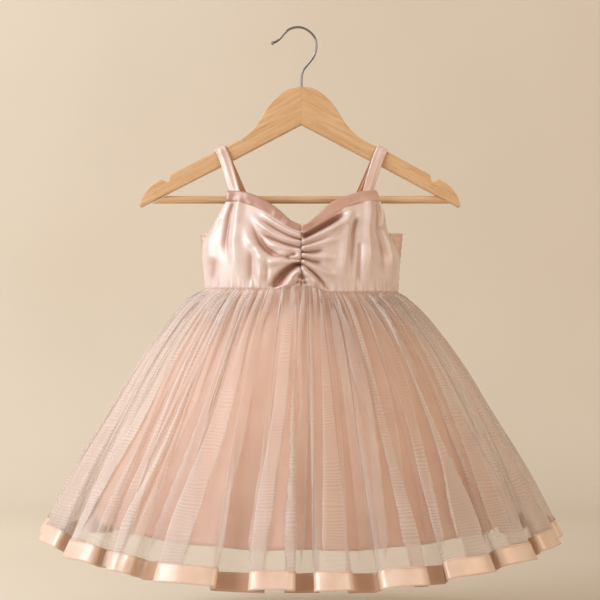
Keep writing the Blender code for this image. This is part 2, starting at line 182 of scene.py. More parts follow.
# ---------------------------------------------------------------- hook
# Hard-drawn steel wire, bent cold and chrome plated, with a small ball formed on its tip.
# Its straight end is pressed into the top of the hanger.
WIRE_RADIUS = 0.0013
DRAWING_MARKS = 0.00111  # spacing of the fine marks that drawing leaves on the wire
BALL_RADIUS, BALL_FLAT = 0.0021, 0.8  # the ball is this share as wide as it is tall
BALL_MIDDLE = (-0.0281, 0, -0.0165)
HOOK_LINE = (  # x, z along the wire's middle, tip first
    (-0.0277, -0.0163), (-0.0241, -0.0150), (-0.0210, -0.0130), (-0.0174, -0.0086),
    (-0.0140, -0.0043), (-0.0101, -0.0012), (-0.0051, 0.0007), (0.0000, 0.0013),
    (0.0054, 0.0004), (0.0107, -0.0023), (0.0152, -0.0061), (0.0183, -0.0102),
    (0.0199, -0.0148), (0.0204, -0.0200), (0.0194, -0.0260), (0.0172, -0.0316),
    (0.0135, -0.0367), (0.0096, -0.0411), (0.0065, -0.0448), (0.0045, -0.0486),
    (0.0036, -0.0540), (0.0035, -0.0655),
)

# chrome on steel wire, with its reflections softened by fine marks; its colour is darker than plated chrome's
# own, as painted shade in what it reflects
chrome, tree, shader = material("chromed_wire", {"Metallic": 1.0, "Roughness": 0.2, "Base Color": "8E9092"})
place = node(tree, "TexCoord").outputs["Object"]
marks = node(tree, "TexNoise", {"Vector": place, "Scale": 1 / DRAWING_MARKS, "Detail": 2.0})
bump = node(tree, "Bump", {"Height": marks, "Strength": 0.06, "Distance": 0.0002})
feed(shader, {"Normal": bump})

bpy.ops.curve.primitive_nurbs_path_add(location=(0, 0, 0))
wire = bpy.context.object
wire.name = "hook_wire"
spline = wire.data.splines[0]
spline.points.add(len(HOOK_LINE) - len(spline.points))
for point, (x, z) in zip(spline.points, HOOK_LINE):
    point.co = (x, 0, z, 1)
spline.order_u = 4
spline.use_endpoint_u = True
wire.data.bevel_depth = WIRE_RADIUS
wire.data.bevel_resolution = 5
wire.data.resolution_u = 6
wire.data.use_fill_caps = True
bpy.ops.object.convert(target="MESH")
bpy.ops.mesh.primitive_uv_sphere_add(segments=24, ring_count=14, radius=BALL_RADIUS, location=BALL_MIDDLE)
ball = bpy.context.object
bpy.ops.object.mode_set(mode="EDIT")
bpy.ops.transform.resize(value=(BALL_FLAT, 1.0, 1.0))
bpy.ops.object.mode_set(mode="OBJECT")
bpy.ops.object.transform_apply(location=True, rotation=True, scale=True)
bpy.ops.object.select_all(action="DESELECT")
ball.select_set(True)
wire.select_set(True)
bpy.context.view_layer.objects.active = wire
bpy.ops.object.join()
bpy.ops.object.shade_smooth()
wire.data.materials.clear()
wire.data.materials.append(chrome)
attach(wire, "root")
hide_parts("hanger_hook")

# ---------------------------------------------------------------- hanger arms
# Two flat beech arms glued at a mitre in the middle and shaped together: a raised neck, sloping
# shoulders with a notch for straps near each tip, all edges rounded over and clear lacquered.
ARM_TOP = -0.0653
ARM_THICK = 0.012
ARM_ROUND = 0.0013
ARM_UPPER = (  # half width, drop below the top, 1 where the outline turns sharply
    (0.0000, 0.0000, 0), (0.0085, 0.0008, 0), (0.0167, 0.0037, 0), (0.0240, 0.0085, 0),
    (0.0298, 0.0139, 0), (0.0350, 0.0196, 0), (0.0394, 0.0257, 0), (0.0434, 0.0324, 0),
    (0.0475, 0.0390, 0), (0.0560, 0.0492, 0), (0.0668, 0.0578, 0), (0.0781, 0.0636, 0),
    (0.0942, 0.0710, 0), (0.1190, 0.0845, 0), (0.1412, 0.0966, 1), (0.1424, 0.1030, 0),
    (0.1455, 0.1040, 0), (0.1505, 0.1012, 1), (0.1622, 0.1086, 0), (0.1705, 0.1194, 0),
    (0.1745, 0.1300, 1),
)
ARM_LOWER = ((0.1735, 0.1325), (0.1616, 0.1263), (0.0906, 0.0886), (0.0000, 0.0413))
ARM_PITCH = 27.6  # degrees that the arms' grain and lower edges slope
LEFT_MORE = 0.0032  # the left arm's end is cut this much longer
LEFT_MORE_FROM, LEFT_MORE_OVER = 0.10, 0.04  # where it begins to be longer, and over what length
GRAIN, GRAIN_LONG = 0.00278, 18.0  # width of the grain, and how many times as long it is
FLECK, FLECK_LONG = 0.00111, 8.0
BOARDS_APART = 0.31  # the two arms' grain is taken this far to either side of one board's middle


def ease_between(a, b, leave, arrive, t):
    """A smooth step from a to b with the slopes given at its ends."""
    return (
        a * (1 + 2 * t) * (1 - t) ** 2 + leave * t * (1 - t) ** 2
        + b * t * t * (3 - 2 * t) + arrive * t * t * (t - 1)
    )


def through(rows, at, column=1):
    """Values of a table's column at some places, on a smooth line through its rows."""
    keys = np.array([row[0] for row in rows], float)
    values = np.array([row[column] for row in rows], float)
    slopes = np.gradient(values, keys)
    at = np.clip(at, keys.min(), keys.max())
    i = np.clip(np.searchsorted(keys, at) - 1, 0, len(keys) - 2)
    span = keys[i + 1] - keys[i]
    t = (at - keys[i]) / span
    return ease_between(values[i], values[i + 1], slopes[i] * span, slopes[i + 1] * span, t)


def rounded_outline(rows, steps):
    """Half of the board's outline, eased between its points except at sharp turns."""
    line = []
    for k in range(len(rows) - 1):
        before, a, b = rows[max(k - 1, 0)], rows[k], rows[k + 1]
        after = rows[min(k + 2, len(rows) - 1)]
        leave = [(b[i] - (a if a[2] else before)[i]) / (1 if a[2] else 2) for i in (0, 1)]
        arrive = [((b if b[2] else after)[i] - a[i]) / (1 if b[2] else 2) for i in (0, 1)]
        for step in range(steps):
            line.append([ease_between(a[i], b[i], leave[i], arrive[i], step / steps) for i in (0, 1)])
    return line


# beech with clear lacquer: close pale grain with fine darker flecks, a soft shine, and the glued
# mitre as a thin dark line
beech, tree, shader = material(
    "lacquered_beech", {"Roughness": 0.42, "Coat Weight": 0.25, "Coat Roughness": 0.25},
)
parts = node(tree, "SeparateXYZ", {"Vector": node(tree, "TexCoord").outputs["Object"]})
off = node(tree, "Math", {0: parts.outputs["X"], 1: -MIDDLE}, operation="ADD")
arm = node(tree, "Math", {0: off}, operation="SIGN")
from_middle = node(tree, "Math", {0: off}, operation="ABSOLUTE")
board = node(tree, "Math", {0: arm, 1: BOARDS_APART}, operation="MULTIPLY")
mirrored = node(tree, "CombineXYZ", {"X": from_middle, "Y": board, "Z": parts.outputs["Z"]})
sloped = {"Vector": mirrored, "Rotation": (0, math.radians(ARM_PITCH), 0)}
grain_place = node(tree, "Mapping", {**sloped, "Scale": (GRAIN_LONG, 1.0, 1.0)}, vector_type="TEXTURE")
bands = node(tree, "TexNoise", {
    "Vector": grain_place, "Scale": 1 / GRAIN, "Detail": 6.0, "Roughness": 0.65, "Distortion": 0.3,
})
grain = node(
    tree, "ValToRGB", {"Fac": bands},
    stops=((0.28, "C0966A"), (0.45, "D0A97D"), (0.58, "D8B48B"), (0.74, "DFC09A")),
)
fleck_place = node(tree, "Mapping", {**sloped, "Scale": (FLECK_LONG, 1.0, 1.0)}, vector_type="TEXTURE")
flecks = node(tree, "TexNoise", {"Vector": fleck_place, "Scale": 1 / FLECK, "Detail": 2.0})
# a MapRange node's inputs: the value, the two ends that it reads between, the two that it gives
fleck_mask = node(tree, "MapRange", {0: flecks, 1: 0.6, 2: 0.75, 3: 0.0, 4: 0.35})
mitre = node(tree, "MapRange", {0: from_middle, 1: 0.0002, 2: 0.0007, 3: 0.2, 4: 0.0})
dark = node(tree, "Math", {0: fleck_mask, 1: mitre}, operation="MAXIMUM")
wood_colour = node(tree, "Mix", {0: dark, 6: grain, 7: "9A6E42"}, data_type="RGBA").outputs[2]
bump = node(tree, "Bump", {"Height": bands, "Strength": 0.15, "Distance": 0.0004})
feed(shader, {"Base Color": wood_colour, "Normal": bump})

right_arm = rounded_outline(ARM_UPPER, 5) + [list(p) for p in (ARM_UPPER[-1][:2],) + ARM_LOWER]
longer = [LEFT_MORE * min(max((x - LEFT_MORE_FROM) / LEFT_MORE_OVER, 0), 1) for x, drop in right_arm]
left_arm = [[-x - more, drop] for (x, drop), more in zip(right_arm[-2:0:-1], longer[-2:0:-1])]
outline = right_arm + left_arm
bpy.ops.mesh.primitive_circle_add(vertices=len(outline), radius=0.1, location=(0, 0, 0))
arms = bpy.context.object
arms.name = "hanger_arms"
for point, (x, drop) in zip(arms.data.vertices, outline):
    point.co = (MIDDLE + x, ARM_THICK / 2, ARM_TOP - drop)
bpy.ops.object.mode_set(mode="EDIT")
bpy.ops.mesh.select_all(action="SELECT")
bpy.ops.mesh.edge_face_add()
bpy.ops.mesh.extrude_region_move(TRANSFORM_OT_translate={"value": (0, -ARM_THICK, 0)})
bpy.ops.mesh.select_all(action="SELECT")
bpy.ops.mesh.normals_make_consistent(inside=False)
bpy.ops.object.mode_set(mode="OBJECT")
rounding = arms.modifiers.new("rounding", "BEVEL")
rounding.width, rounding.segments, rounding.limit_method = ARM_ROUND, 4, "ANGLE"
rounding.angle_limit = math.radians(60)
bpy.ops.object.modifier_apply(modifier="rounding")
bpy.ops.object.shade_smooth_by_angle(angle=math.radians(35))
arms.data.materials.append(beech)
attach(arms, "root")
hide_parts("hanger_body")

# ---------------------------------------------------------------- hanger bar
# A turned beech dowel with straight grain, glued between the two arms under their lower edges.
# Its ends are cut at the arms' slope.
BAR_RADIUS = 0.0042
BAR_DROP = 0.1236  # how far its middle lies below the arms' top
BAR_BLANK = 0.36  # its length before its ends are cut
BAR_GAP = 0.0002
BAR_GRAIN, BAR_GRAIN_LONG = 0.00238, 20

# the dowel is paler and plainer than the arms, with its grain straight along it
dowel, tree, shader = material("beech_dowel", {"Roughness": 0.46, "Coat Weight": 0.15, "Coat Roughness": 0.3})
place = node(tree, "TexCoord").outputs["Object"]
along = node(tree, "Mapping", {"Vector": place, "Scale": (1 / BAR_GRAIN_LONG, 1.0, 1.0)})
bands = node(tree, "TexNoise", {"Vector": along, "Scale": 1 / BAR_GRAIN, "Detail": 4.0})
tint = node(tree, "ValToRGB", {"Fac": bands}, stops=((0.3, "C99F72"), (0.55, "D8B48D"), (0.75, "E2C6A3")))
bump = node(tree, "Bump", {"Height": bands, "Strength": 0.1, "Distance": 0.0003})
feed(shader, {"Base Color": tint, "Normal": bump})

bar_z = ARM_TOP - BAR_DROP
bpy.ops.mesh.primitive_cylinder_add(
    vertices=40, radius=BAR_RADIUS, depth=BAR_BLANK,
    location=(MIDDLE, 0, bar_z), rotation=(0, math.pi / 2, 0),
)
bar = bpy.context.object
bar.name = "hanger_dowel"
bpy.ops.object.transform_apply(location=True, rotation=True, scale=True)
(outer_x, outer_drop), (inner_x, inner_drop) = ARM_LOWER[1:3]
cut_x = inner_x + (BAR_DROP - inner_drop) * (outer_x - inner_x) / (outer_drop - inner_drop) - BAR_GAP
slope = math.radians(ARM_PITCH)
for side in (-1, 1):
    bpy.ops.object.mode_set(mode="EDIT")
    bpy.ops.mesh.select_all(action="SELECT")
    bpy.ops.mesh.bisect(
        plane_co=(MIDDLE + side * cut_x, 0, bar_z), plane_no=(side * math.sin(slope), 0, math.cos(slope)),
        use_fill=True, clear_outer=True,
    )
    bpy.ops.object.mode_set(mode="OBJECT")
bpy.ops.object.shade_smooth_by_angle(angle=math.radians(40))
bar.data.materials.append(dowel)
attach(bar, "root")
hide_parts("hanger_bar")

# ---------------------------------------------------------------- bodice front
# Two pieces of polyester satin joined by a seam at the middle front. The seam is ruched: gathered
# up on its thread, so the cloth fans out from it in creases that run to the straps and the waist.
WAIST_Z, WAIST_HALF, WAIST_DEPTH = -0.2870, 0.1056, 0.0500
WAIST_LIFT, WAIST_LIFT_REACH = 0.0035, 0.018
WAIST_SAG = 0.0036  # the seam hangs lower to the right of the middle
WAIST_SAG_FROM, WAIST_SAG_OVER = 0.004, 0.030
FRONT_PLAN = (  # z, half width at the free edge, degrees from the middle to that edge, half depth
    (-0.2870, 0.1056, 90.0, 0.0500), (-0.2680, 0.1074, 90.0, 0.0515),
    (-0.2540, 0.1080, 90.0, 0.0515), (-0.2386, 0.1036, 80.0, 0.0490),
    (-0.2230, 0.0980, 73.0, 0.0455), (-0.2078, 0.0915, 66.0, 0.0415),
    (-0.1930, 0.0860, 61.0, 0.0375), (-0.1790, 0.0812, 58.0, 0.0335),
)
NECK_SEAM = (  # distance from the middle, z of the seam under the neck band
    (0.0000, -0.2262), (0.0100, -0.2232), (0.0256, -0.2136), (0.0440, -0.2026), (0.0690, -0.1940),
    (0.0860, -0.1925),
)
# each crease: x, z in mm where it starts, bends and ends; its width there and at its end; its height
LEFT_CREASES = (
    (-2, -230, -27, -218, -46, -203, 1.6, 2.4, 3.2), (-2, -234, -27, -223, -54, -203, 1.4, 2.4, -3.2),
    (-2, -238, -31, -228, -56, -206, 1.7, 3.0, 3.8), (-2, -243, -27, -235, -49, -223, 1.6, 3.0, -3.8),
    (-2, -247, -24, -243, -44, -235, 2.0, 3.6, 4.0), (-8, -250, -37, -245, -58, -204, 2.6, 5.0, -5.8),
    (-18, -254, -44, -252, -66, -204, 3.6, 6.0, 4.2), (-2, -253, -20, -250, -34, -252, 1.8, 4.0, 3.0),
    (-2, -256, -14, -255, -24, -252, 1.5, 3.0, -3.2), (-2, -259, -14, -259, -27, -264, 1.8, 5.0, 3.5),
    (-1, -261, -18, -270, -38, -300, 2.6, 5.4, -12.1), (-2, -268, -11, -276, -22, -300, 2.4, 4.0, 5.2),
    (-2, -272, -4, -280, -6, -286, 1.6, 2.4, -2.5), (-78, -196, -80, -225, -78, -270, 2.6, 5.0, -3.3),
    (-69, -196, -70, -232, -73, -286, 4.6, 8.0, 3.5), (-52, -245, -54, -268, -52, -287, 4.6, 6.0, -2.4),
    (-44, -256, -44, -270, -45, -287, 3.4, 4.0, 2.0), (-36, -258, -37, -272, -37, -287, 2.6, 3.0, -1.8),
    (-95, -258, -97, -269, -98, -284, 4.0, 5.0, -2.0), (-91, -212, -98, -245, -100, -262, 3.4, 5.0, 2.0),
)
RIGHT_CREASES = (
    (4, -230, 27, -217.5, 60, -198, 2.6, 3.6, -10.0), (2, -238, 29, -226, 60, -205, 2.6, 4.2, 6.5),
    (2, -240, 20, -234, 38, -226, 1.8, 4.0, -5.3), (2, -244, 24, -238, 51, -225, 2.2, 7.0, 5.6),
    (2, -248, 15, -247, 29, -242, 1.5, 3.0, -4.0), (2, -251, 20, -254, 41, -250, 1.9, 6.0, 5.0),
    (2, -255, 15, -258, 27, -259, 1.5, 4.0, -4.7), (2, -258, 20, -267, 41, -276, 1.9, 6.0, 4.7),
    (2, -261, 16, -273, 36, -298, 1.6, 2.6, -4.4), (1, -266, 12, -277, 20, -287, 2.2, 4.0, 5.3),
    (1, -272, 4, -280, 7, -286, 1.6, 2.4, -3.1), (59, -214, 53, -245, 49, -289, 3.0, 4.6, -3.4),
    (50, -206, 47, -245, 44, -287, 6.0, 7.0, 3.6), (73, -196, 72, -245, 69, -288, 4.6, 7.0, 3.9),
    (83, -196, 88, -235, 90, -286, 3.4, 5.0, -2.2), (91, -224, 98, -252, 98, -284, 3.6, 4.4, 2.2),
    (63, -240, 62, -268, 61, -288, 2.8, 3.4, -2.2),
)
CREASE_STEPS = 8  # straight pieces that each crease is drawn in
SEAM_GATHERS = 9  # small gathers each side of the ruched seam
SEAM_GATHER_HEIGHT, GATHER_REACH = 0.0009, 0.0075
SEAM_DRAW, WAIST_DRAW = 0.0024, 0.0014  # how far the two seams draw the cloth in
PUCKER_HEIGHT = 0.00035
SEAM_GROOVE = 0.0013  # half width of the groove at a seam
PUCKER_REACH = 0.009
WAIST_LAP, NECK_LAP = 0.0008, 0.0014  # how far the cloth runs on past those seams
# creases this deep get the full painted shade in their hollows
PAINTED_SHADE_DEPTH = 0.0032  # depth at which a hollow has its full tint
ARMHOLE = {  # how far each edge moves out, at what z, over what height
    -1: ((0.0040, -0.2370, 0.013), (-0.0042, -0.1900, 0.015)), 1: ((-0.0045, -0.2240, 0.013),),
}
SATIN_THICK = 0.0006
DYE_CLOUDS = 0.0222  # spacing of the faint unevenness in the satin's dye
WEAVE = 0.00251  # spacing of its drawn weave


def satin(name, pale, deep, shine, hollow=None):
    """Warp-faced polyester satin: long floats give a broad bright streak and deep tinted shade. A hollow
    colour, where given, is painted shade: it is mixed into the base colour by the cloth's hollow attribute,
    in place of the light that its folds throw into one another."""
    made, tree, shader = material(name, {
        "Roughness": shine, "IOR": 1.6, "Specular IOR Level": 1.0, "Coat Weight": 0.8,
        "Coat Roughness": shine - 0.08, "Sheen Weight": 0.15, "Sheen Roughness": 0.4, "Sheen Tint": "FFE9DF",
    })
    uv = node(tree, "UVMap", uv_map="threads")
    dye = node(tree, "TexNoise", {"Vector": uv, "Scale": 1 / DYE_CLOUDS, "Detail": 3.0})
    tint = node(tree, "ValToRGB", {"Fac": dye}, stops=((0.35, deep), (0.65, pale)))
    # painted shade: the hollow colour darkens the cloth as far as its hollow attribute says
    if hollow:
        depth = node(tree, "Attribute", attribute_name="hollow").outputs["Fac"]
        tint = node(tree, "Mix", {0: depth, 6: tint, 7: hollow}, data_type="RGBA").outputs[2]
    # threads 0.25 mm apart would not show, so the weave is drawn 2.5 mm apart; at a scale of 1 the
    # texture's slanting bands lie pi / 5 apart in u + v
    weave = node(
        tree, "TexWave",
        {"Vector": uv, "Scale": math.pi / 5 / (WEAVE * math.sqrt(2)), "Distortion": 1.5, "Detail": 1.0},
        wave_type="BANDS", bands_direction="DIAGONAL",
    )
    bump = node(tree, "Bump", {"Height": weave.outputs["Fac"], "Strength": 0.06, "Distance": 0.0002})
    feed(shader, {"Base Color": tint, "Normal": bump})
    return made


def facing(grid):
    """Unit normals of a grid, and whether they point away from the body's middle line."""
    normal = np.cross(np.gradient(grid, axis=1), np.gradient(grid, axis=0))
    normal /= np.maximum(np.linalg.norm(normal, axis=2, keepdims=True), 1e-12)
    return normal, (normal[:, :, :2] * grid[:, :, :2]).sum() > 0


def outward(grid):
    """Unit normals of a grid, all away from the body."""
    normal, right_way = facing(grid)
    return normal if right_way else -normal


def cloth(name, grid, finish, nodes, thickness=0.0, flip=None, hollow=None):
    """A sheet of cloth from rows of points, with a UV map in metres along its threads."""
    rows, columns = grid.shape[:2]
    index = np.arange(rows * columns).reshape(rows, columns)
    faces = np.stack([index[:-1, :-1], index[:-1, 1:], index[1:, 1:], index[1:, :-1]], axis=-1)
    faces = faces.reshape(-1, 4)
    if not facing(grid)[1] if flip is None else flip:
        faces = faces[:, ::-1]
    mesh = bpy.data.meshes.new(name)
    mesh.from_pydata((grid.reshape(-1, 3) + np.array((MIDDLE, 0, 0))).tolist(), [], faces.tolist())
    across = np.linalg.norm(np.diff(grid, axis=1), axis=2).mean(axis=0)
    down = np.linalg.norm(np.diff(grid, axis=0), axis=2).mean(axis=1)
    u, v = np.concatenate([[0], np.cumsum(across)]), np.concatenate([[0], np.cumsum(down)])
    uv = np.stack(np.meshgrid(u, v), axis=-1).reshape(-1, 2)
    layer = mesh.uv_layers.new(name="threads")
    corners = np.empty(len(mesh.loops), int)
    mesh.loops.foreach_get("vertex_index", corners)
    layer.data.foreach_set("uv", uv[corners].astype(np.float32).ravel())
    # on satin the hollow attribute says how much painted shade a place takes; on the net it is the share that
    # is one layer thick
    if hollow is not None:
        depths = mesh.attributes.new("hollow", "FLOAT", "POINT")
        depths.data.foreach_set("value", hollow.astype(np.float32).ravel())
    mesh.polygons.foreach_set("use_smooth", [True] * len(mesh.polygons))
    mesh.materials.append(finish)
    made = bpy.data.objects.new(name, mesh)
    scene.collection.objects.link(made)
    if thickness:
        shell = made.modifiers.new("shell", "SOLIDIFY")
        shell.thickness, shell.offset = thickness, 0
        bpy.context.view_layer.objects.active = made
        bpy.ops.object.modifier_apply(modifier="shell")
    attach(made, "root")
    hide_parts(*nodes)
    return made


def full_half(z):
    """Half width that the front's oval would have if it ran on round the body, at some heights."""
    return through(FRONT_PLAN, z, 1) / np.sin(np.radians(through(FRONT_PLAN, z, 2)))


def front_form(x, z):
    """Points of the front's curved form at a distance from the middle and a height."""
    cosine = np.sqrt(np.clip(1 - (x / full_half(z)) ** 2, 0, 1))
    return np.stack(np.broadcast_arrays(x, -through(FRONT_PLAN, z, 3) * cosine, z), axis=-1)


def waist(x, front):
    """Height of the waist seam at a distance from the middle, left negative."""
    lift = WAIST_LIFT * np.exp(-((x / WAIST_LIFT_REACH) ** 2)) * front
    return WAIST_Z + lift - WAIST_SAG * eased((x - WAIST_SAG_FROM) / WAIST_SAG_OVER)


def eased(value):
    """0 to 1, with level ends."""
    value = np.clip(value, 0, 1)
    return value * value * (3 - 2 * value)


def bump_at(distance, width):
    """A round bump of height 1: its height at some distances from its middle."""
    return np.exp(-((distance / width) ** 2))


def creased(x, z, creases):
    """Height of the creases at places on a panel, in metres."""
    total = np.zeros_like(x)
    for x0, z0, x1, z1, x2, z2, wide, end_wide, height in creases:
        line = np.array(((x0, z0), (x1, z1), (x2, z2)), float) / 1000
        t = np.linspace(0, 1, CREASE_STEPS + 1)[:, None]
        control = 2 * line[1] - (line[0] + line[2]) / 2
        line = (1 - t) ** 2 * line[0] + 2 * t * (1 - t) * control + t**2 * line[2]
        nearest = np.full(x.shape, 1e9)
        passed = np.zeros_like(x)
        for k in range(CREASE_STEPS):
            step = line[k + 1] - line[k]
            along = ((x - line[k, 0]) * step[0] + (z - line[k, 1]) * step[1]) / (step @ step)
            along = np.clip(along, 0, 1)
            away = np.hypot(x - line[k, 0] - along * step[0], z - line[k, 1] - along * step[1])
            passed = np.where(away < nearest, (k + along) / CREASE_STEPS, passed)
            nearest = np.minimum(away, nearest)
        width = (wide + (end_wide - wide) * passed) / 1000
        fade = 1 - eased((passed - 0.55) / 0.45)
        total += height / 1000 * fade * bump_at(nearest, width)
    return total


def armhole(side, share, z):
    """How far the cloth moves out at a share of the way to the armhole's edge."""
    return share**3 * sum(move * bump_at(z - at, tall) for move, at, tall in ARMHOLE[side])


# A9745A is painted shade, mixed into the hollows of the creases
blush_satin = satin("blush_satin", "E4D4D0", "DAC5BE", 0.40, "A9745A")
for side, hand, creases in ((-1, "left", LEFT_CREASES), (1, "right", RIGHT_CREASES)):
    share = np.linspace(0, 1, 130)[:, None]
    edge_z = WAIST_Z + share * (NECK_SEAM[-1][1] - WAIST_Z)
    edge, turns = through(FRONT_PLAN, edge_z, 1), np.radians(through(FRONT_PLAN, edge_z, 2))
    x = np.sin(np.linspace(0, 1, 112)[None, :] ** 1.15 * turns) / np.sin(turns) * edge
    low = waist(side * x, True) - WAIST_LAP
    high = through(NECK_SEAM, x) + NECK_LAP
    z = low + share * (high - low)
    grid = front_form(x, z)
    grid[:, :, 0] += armhole(side, x / edge, z)
    grid = grid * np.array((side, 1, 1))
    # the creases die out at the waist seam and, in part, at the free edge
    held = eased((z - low) / 0.004) * eased((edge - x) / 0.004 + 0.15)
    lift = creased(side * x, z, creases) * held
    # the waist seam draws the cloth in, and puckers it a little
    pucker = np.sin(x * 900 + 2 * side) + np.sin(x * 1460 + side) + np.sin(x * 610)
    lift -= WAIST_DRAW * bump_at(z - low, SEAM_GROOVE)
    lift += PUCKER_HEIGHT * pucker * bump_at(z - low, PUCKER_REACH) * eased((z - low) / 0.002)
    # the ruched seam gathers it finely and draws it in deeper
    up = (z - low) / (high - low)
    gathers = np.cos(2 * np.pi * SEAM_GATHERS * up + 0.5 * side) * (1 + 0.3 * np.sin(17 * up))
    lift += SEAM_GATHER_HEIGHT * gathers * bump_at(x, GATHER_REACH) * eased((high - z) / 0.004)
    lift -= SEAM_DRAW * bump_at(x, SEAM_GROOVE) * eased((high - z) / 0.003)
    # the deeper a crease sinks, the more painted shade its hollow gets
    panel = cloth(
        f"bodice_satin_{hand}", grid + outward(grid) * lift[:, :, None], blush_satin,
        (f"bodice_front_{hand}",), SATIN_THICK, hollow=0.85 * eased(-lift / PAINTED_SHADE_DEPTH),
    )

# ---------------------------------------------------------------- neck band
# A bias strip of the same satin folded double, seamed at the middle and sewn along the neck with
# its fold at the top. It twists a little where the layers are caught beside the middle seam.
NECK_EDGE = (  # distance from the middle, z of the fold along the top
    (0.0000, -0.2161), (0.0165, -0.2079), (0.0335, -0.1950), (0.0616, -0.1823), (0.0812, -0.1797),
)
BAND_FOLD = (  # share of the band's height, distance in front of its middle in mm; over the fold
    (0.00, 0.20), (0.07, 0.80), (0.17, 1.10), (0.33, 1.30), (0.50, 1.35), (0.68, 1.25), (0.84, 1.05),
    (0.95, 0.65), (1.00, 0.05), (0.96, -0.55), (0.85, -0.70), (0.60, -0.70), (0.30, -0.70), (0.00, -0.60),
)
BAND_CREASES = (  # the same columns as the creases of the bodice
    (1, -220, 8, -216, 17, -209, 2.0, 2.5, 1.8), (3, -222, 12, -219, 22, -213, 1.2, 2.0, -1.2),
    (-2, -221, -8, -215, -14, -211, 2.0, 2.5, 0.9), (30, -207, 36, -202, 40, -197, 1.6, 2.0, 0.5),
    (-30, -207, -36, -202, -40, -197, 1.6, 2.0, -0.4), (52, -196, 58, -192, 62, -186, 2.0, 3.0, 0.6),
    (-55, -195, -60, -190, -64, -186, 2.0, 3.0, 0.6), (-82, -200, -82, -190, -82, -165, 5.5, 5.5, 3.0),
    (-17, -219, -14, -214, -11, -208, 1.6, 2.2, 0.6), (-23, -215, -20, -209, -17, -203, 1.6, 2.2, -0.5),
    (-31, -211, -28, -205, -25, -198, 1.8, 2.4, 0.5),
)
BAND_END = 0.0860  # distance from the middle to its end, along the neck seam
BAND_TAPER = 0.056  # share by which its top edge is shorter than that
BAND_GAP = 0.0002
BAND_SEAM_DRAW, BAND_SEAM_GROOVE = 0.0009, 0.0012
LEFT_DIP, LEFT_DIP_FROM, LEFT_DIP_OVER = 0.0030, 0.009, 0.014  # its fold droops from the middle on
RIGHT_DIP, RIGHT_DIP_AT, RIGHT_DIP_REACH = 0.0036, 0.004, 0.010  # it droops beside the middle
RIGHT_RISE, RIGHT_RISE_AT, RIGHT_RISE_REACH = 0.0022, 0.029, 0.012  # and stands up farther out
THREAD = 0.00016  # half the width of a stitch's thread
THREAD_TWIST = 0.0004
STITCH = 0.0026


def stitches(name, line, out, finish, pitch):
    """A row of thread stitches along a line on the cloth, each sunk into it at both ends."""
    along = np.concatenate([[0], np.cumsum(np.linalg.norm(np.diff(line, axis=0), axis=1))])
    middles = np.arange(pitch / 2, along[-1] - pitch / 2, pitch)
    stops = middles[:, None] + pitch * np.array((-0.36, 0.0, 0.36))
    points = np.stack([np.interp(stops, along, line[:, k]) for k in range(3)], axis=-1)
    up = np.stack([np.interp(stops, along, out[:, k]) for k in range(3)], axis=-1)
    up /= np.linalg.norm(up, axis=2, keepdims=True)
    beside = np.cross(points[:, 2:] - points[:, :1], up)
    beside /= np.linalg.norm(beside, axis=2, keepdims=True)
    points = points + up * np.array((-0.00012, 0.00022, -0.00012))[:, None]
    ring = [points + THREAD * (a * beside + b * up) for a, b in ((1, -1), (1, 1), (-1, 1), (-1, -1))]
    corners = np.stack(ring, axis=2).reshape(-1, 3) + np.array((MIDDLE, 0, 0))
    box = [[k, k + 4, (k + 1) % 4 + 4, (k + 1) % 4] for k in range(4)]
    box += [[i + 4 for i in face] for face in box] + [[0, 1, 2, 3], [11, 10, 9, 8]]
    faces = (np.array(box) + 12 * np.arange(len(middles))[:, None, None]).reshape(-1, 4)
    mesh = bpy.data.meshes.new(name)
    mesh.from_pydata(corners.tolist(), [], faces.tolist())
    mesh.materials.append(finish)
    made = bpy.data.objects.new(name, mesh)
    scene.collection.objects.link(made)
    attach(made, "root")


def thread(name, deep, pale):
    """Spun polyester sewing thread: matt, and a little uneven from its twist."""
    made, tree, shader = material(name, {"Roughness": 0.6, "Sheen Weight": 0.2})
    place = node(tree, "TexCoord").outputs["Object"]
    twist = node(tree, "TexNoise", {"Vector": place, "Scale": 1 / THREAD_TWIST, "Detail": 1.0})
    feed(shader, {"Base Color": node(tree, "ValToRGB", {"Fac": twist}, stops=((0.4, deep), (0.6, pale)))})
    return made


blush_thread = thread("blush_thread", "C9A392", "D5AF9E")
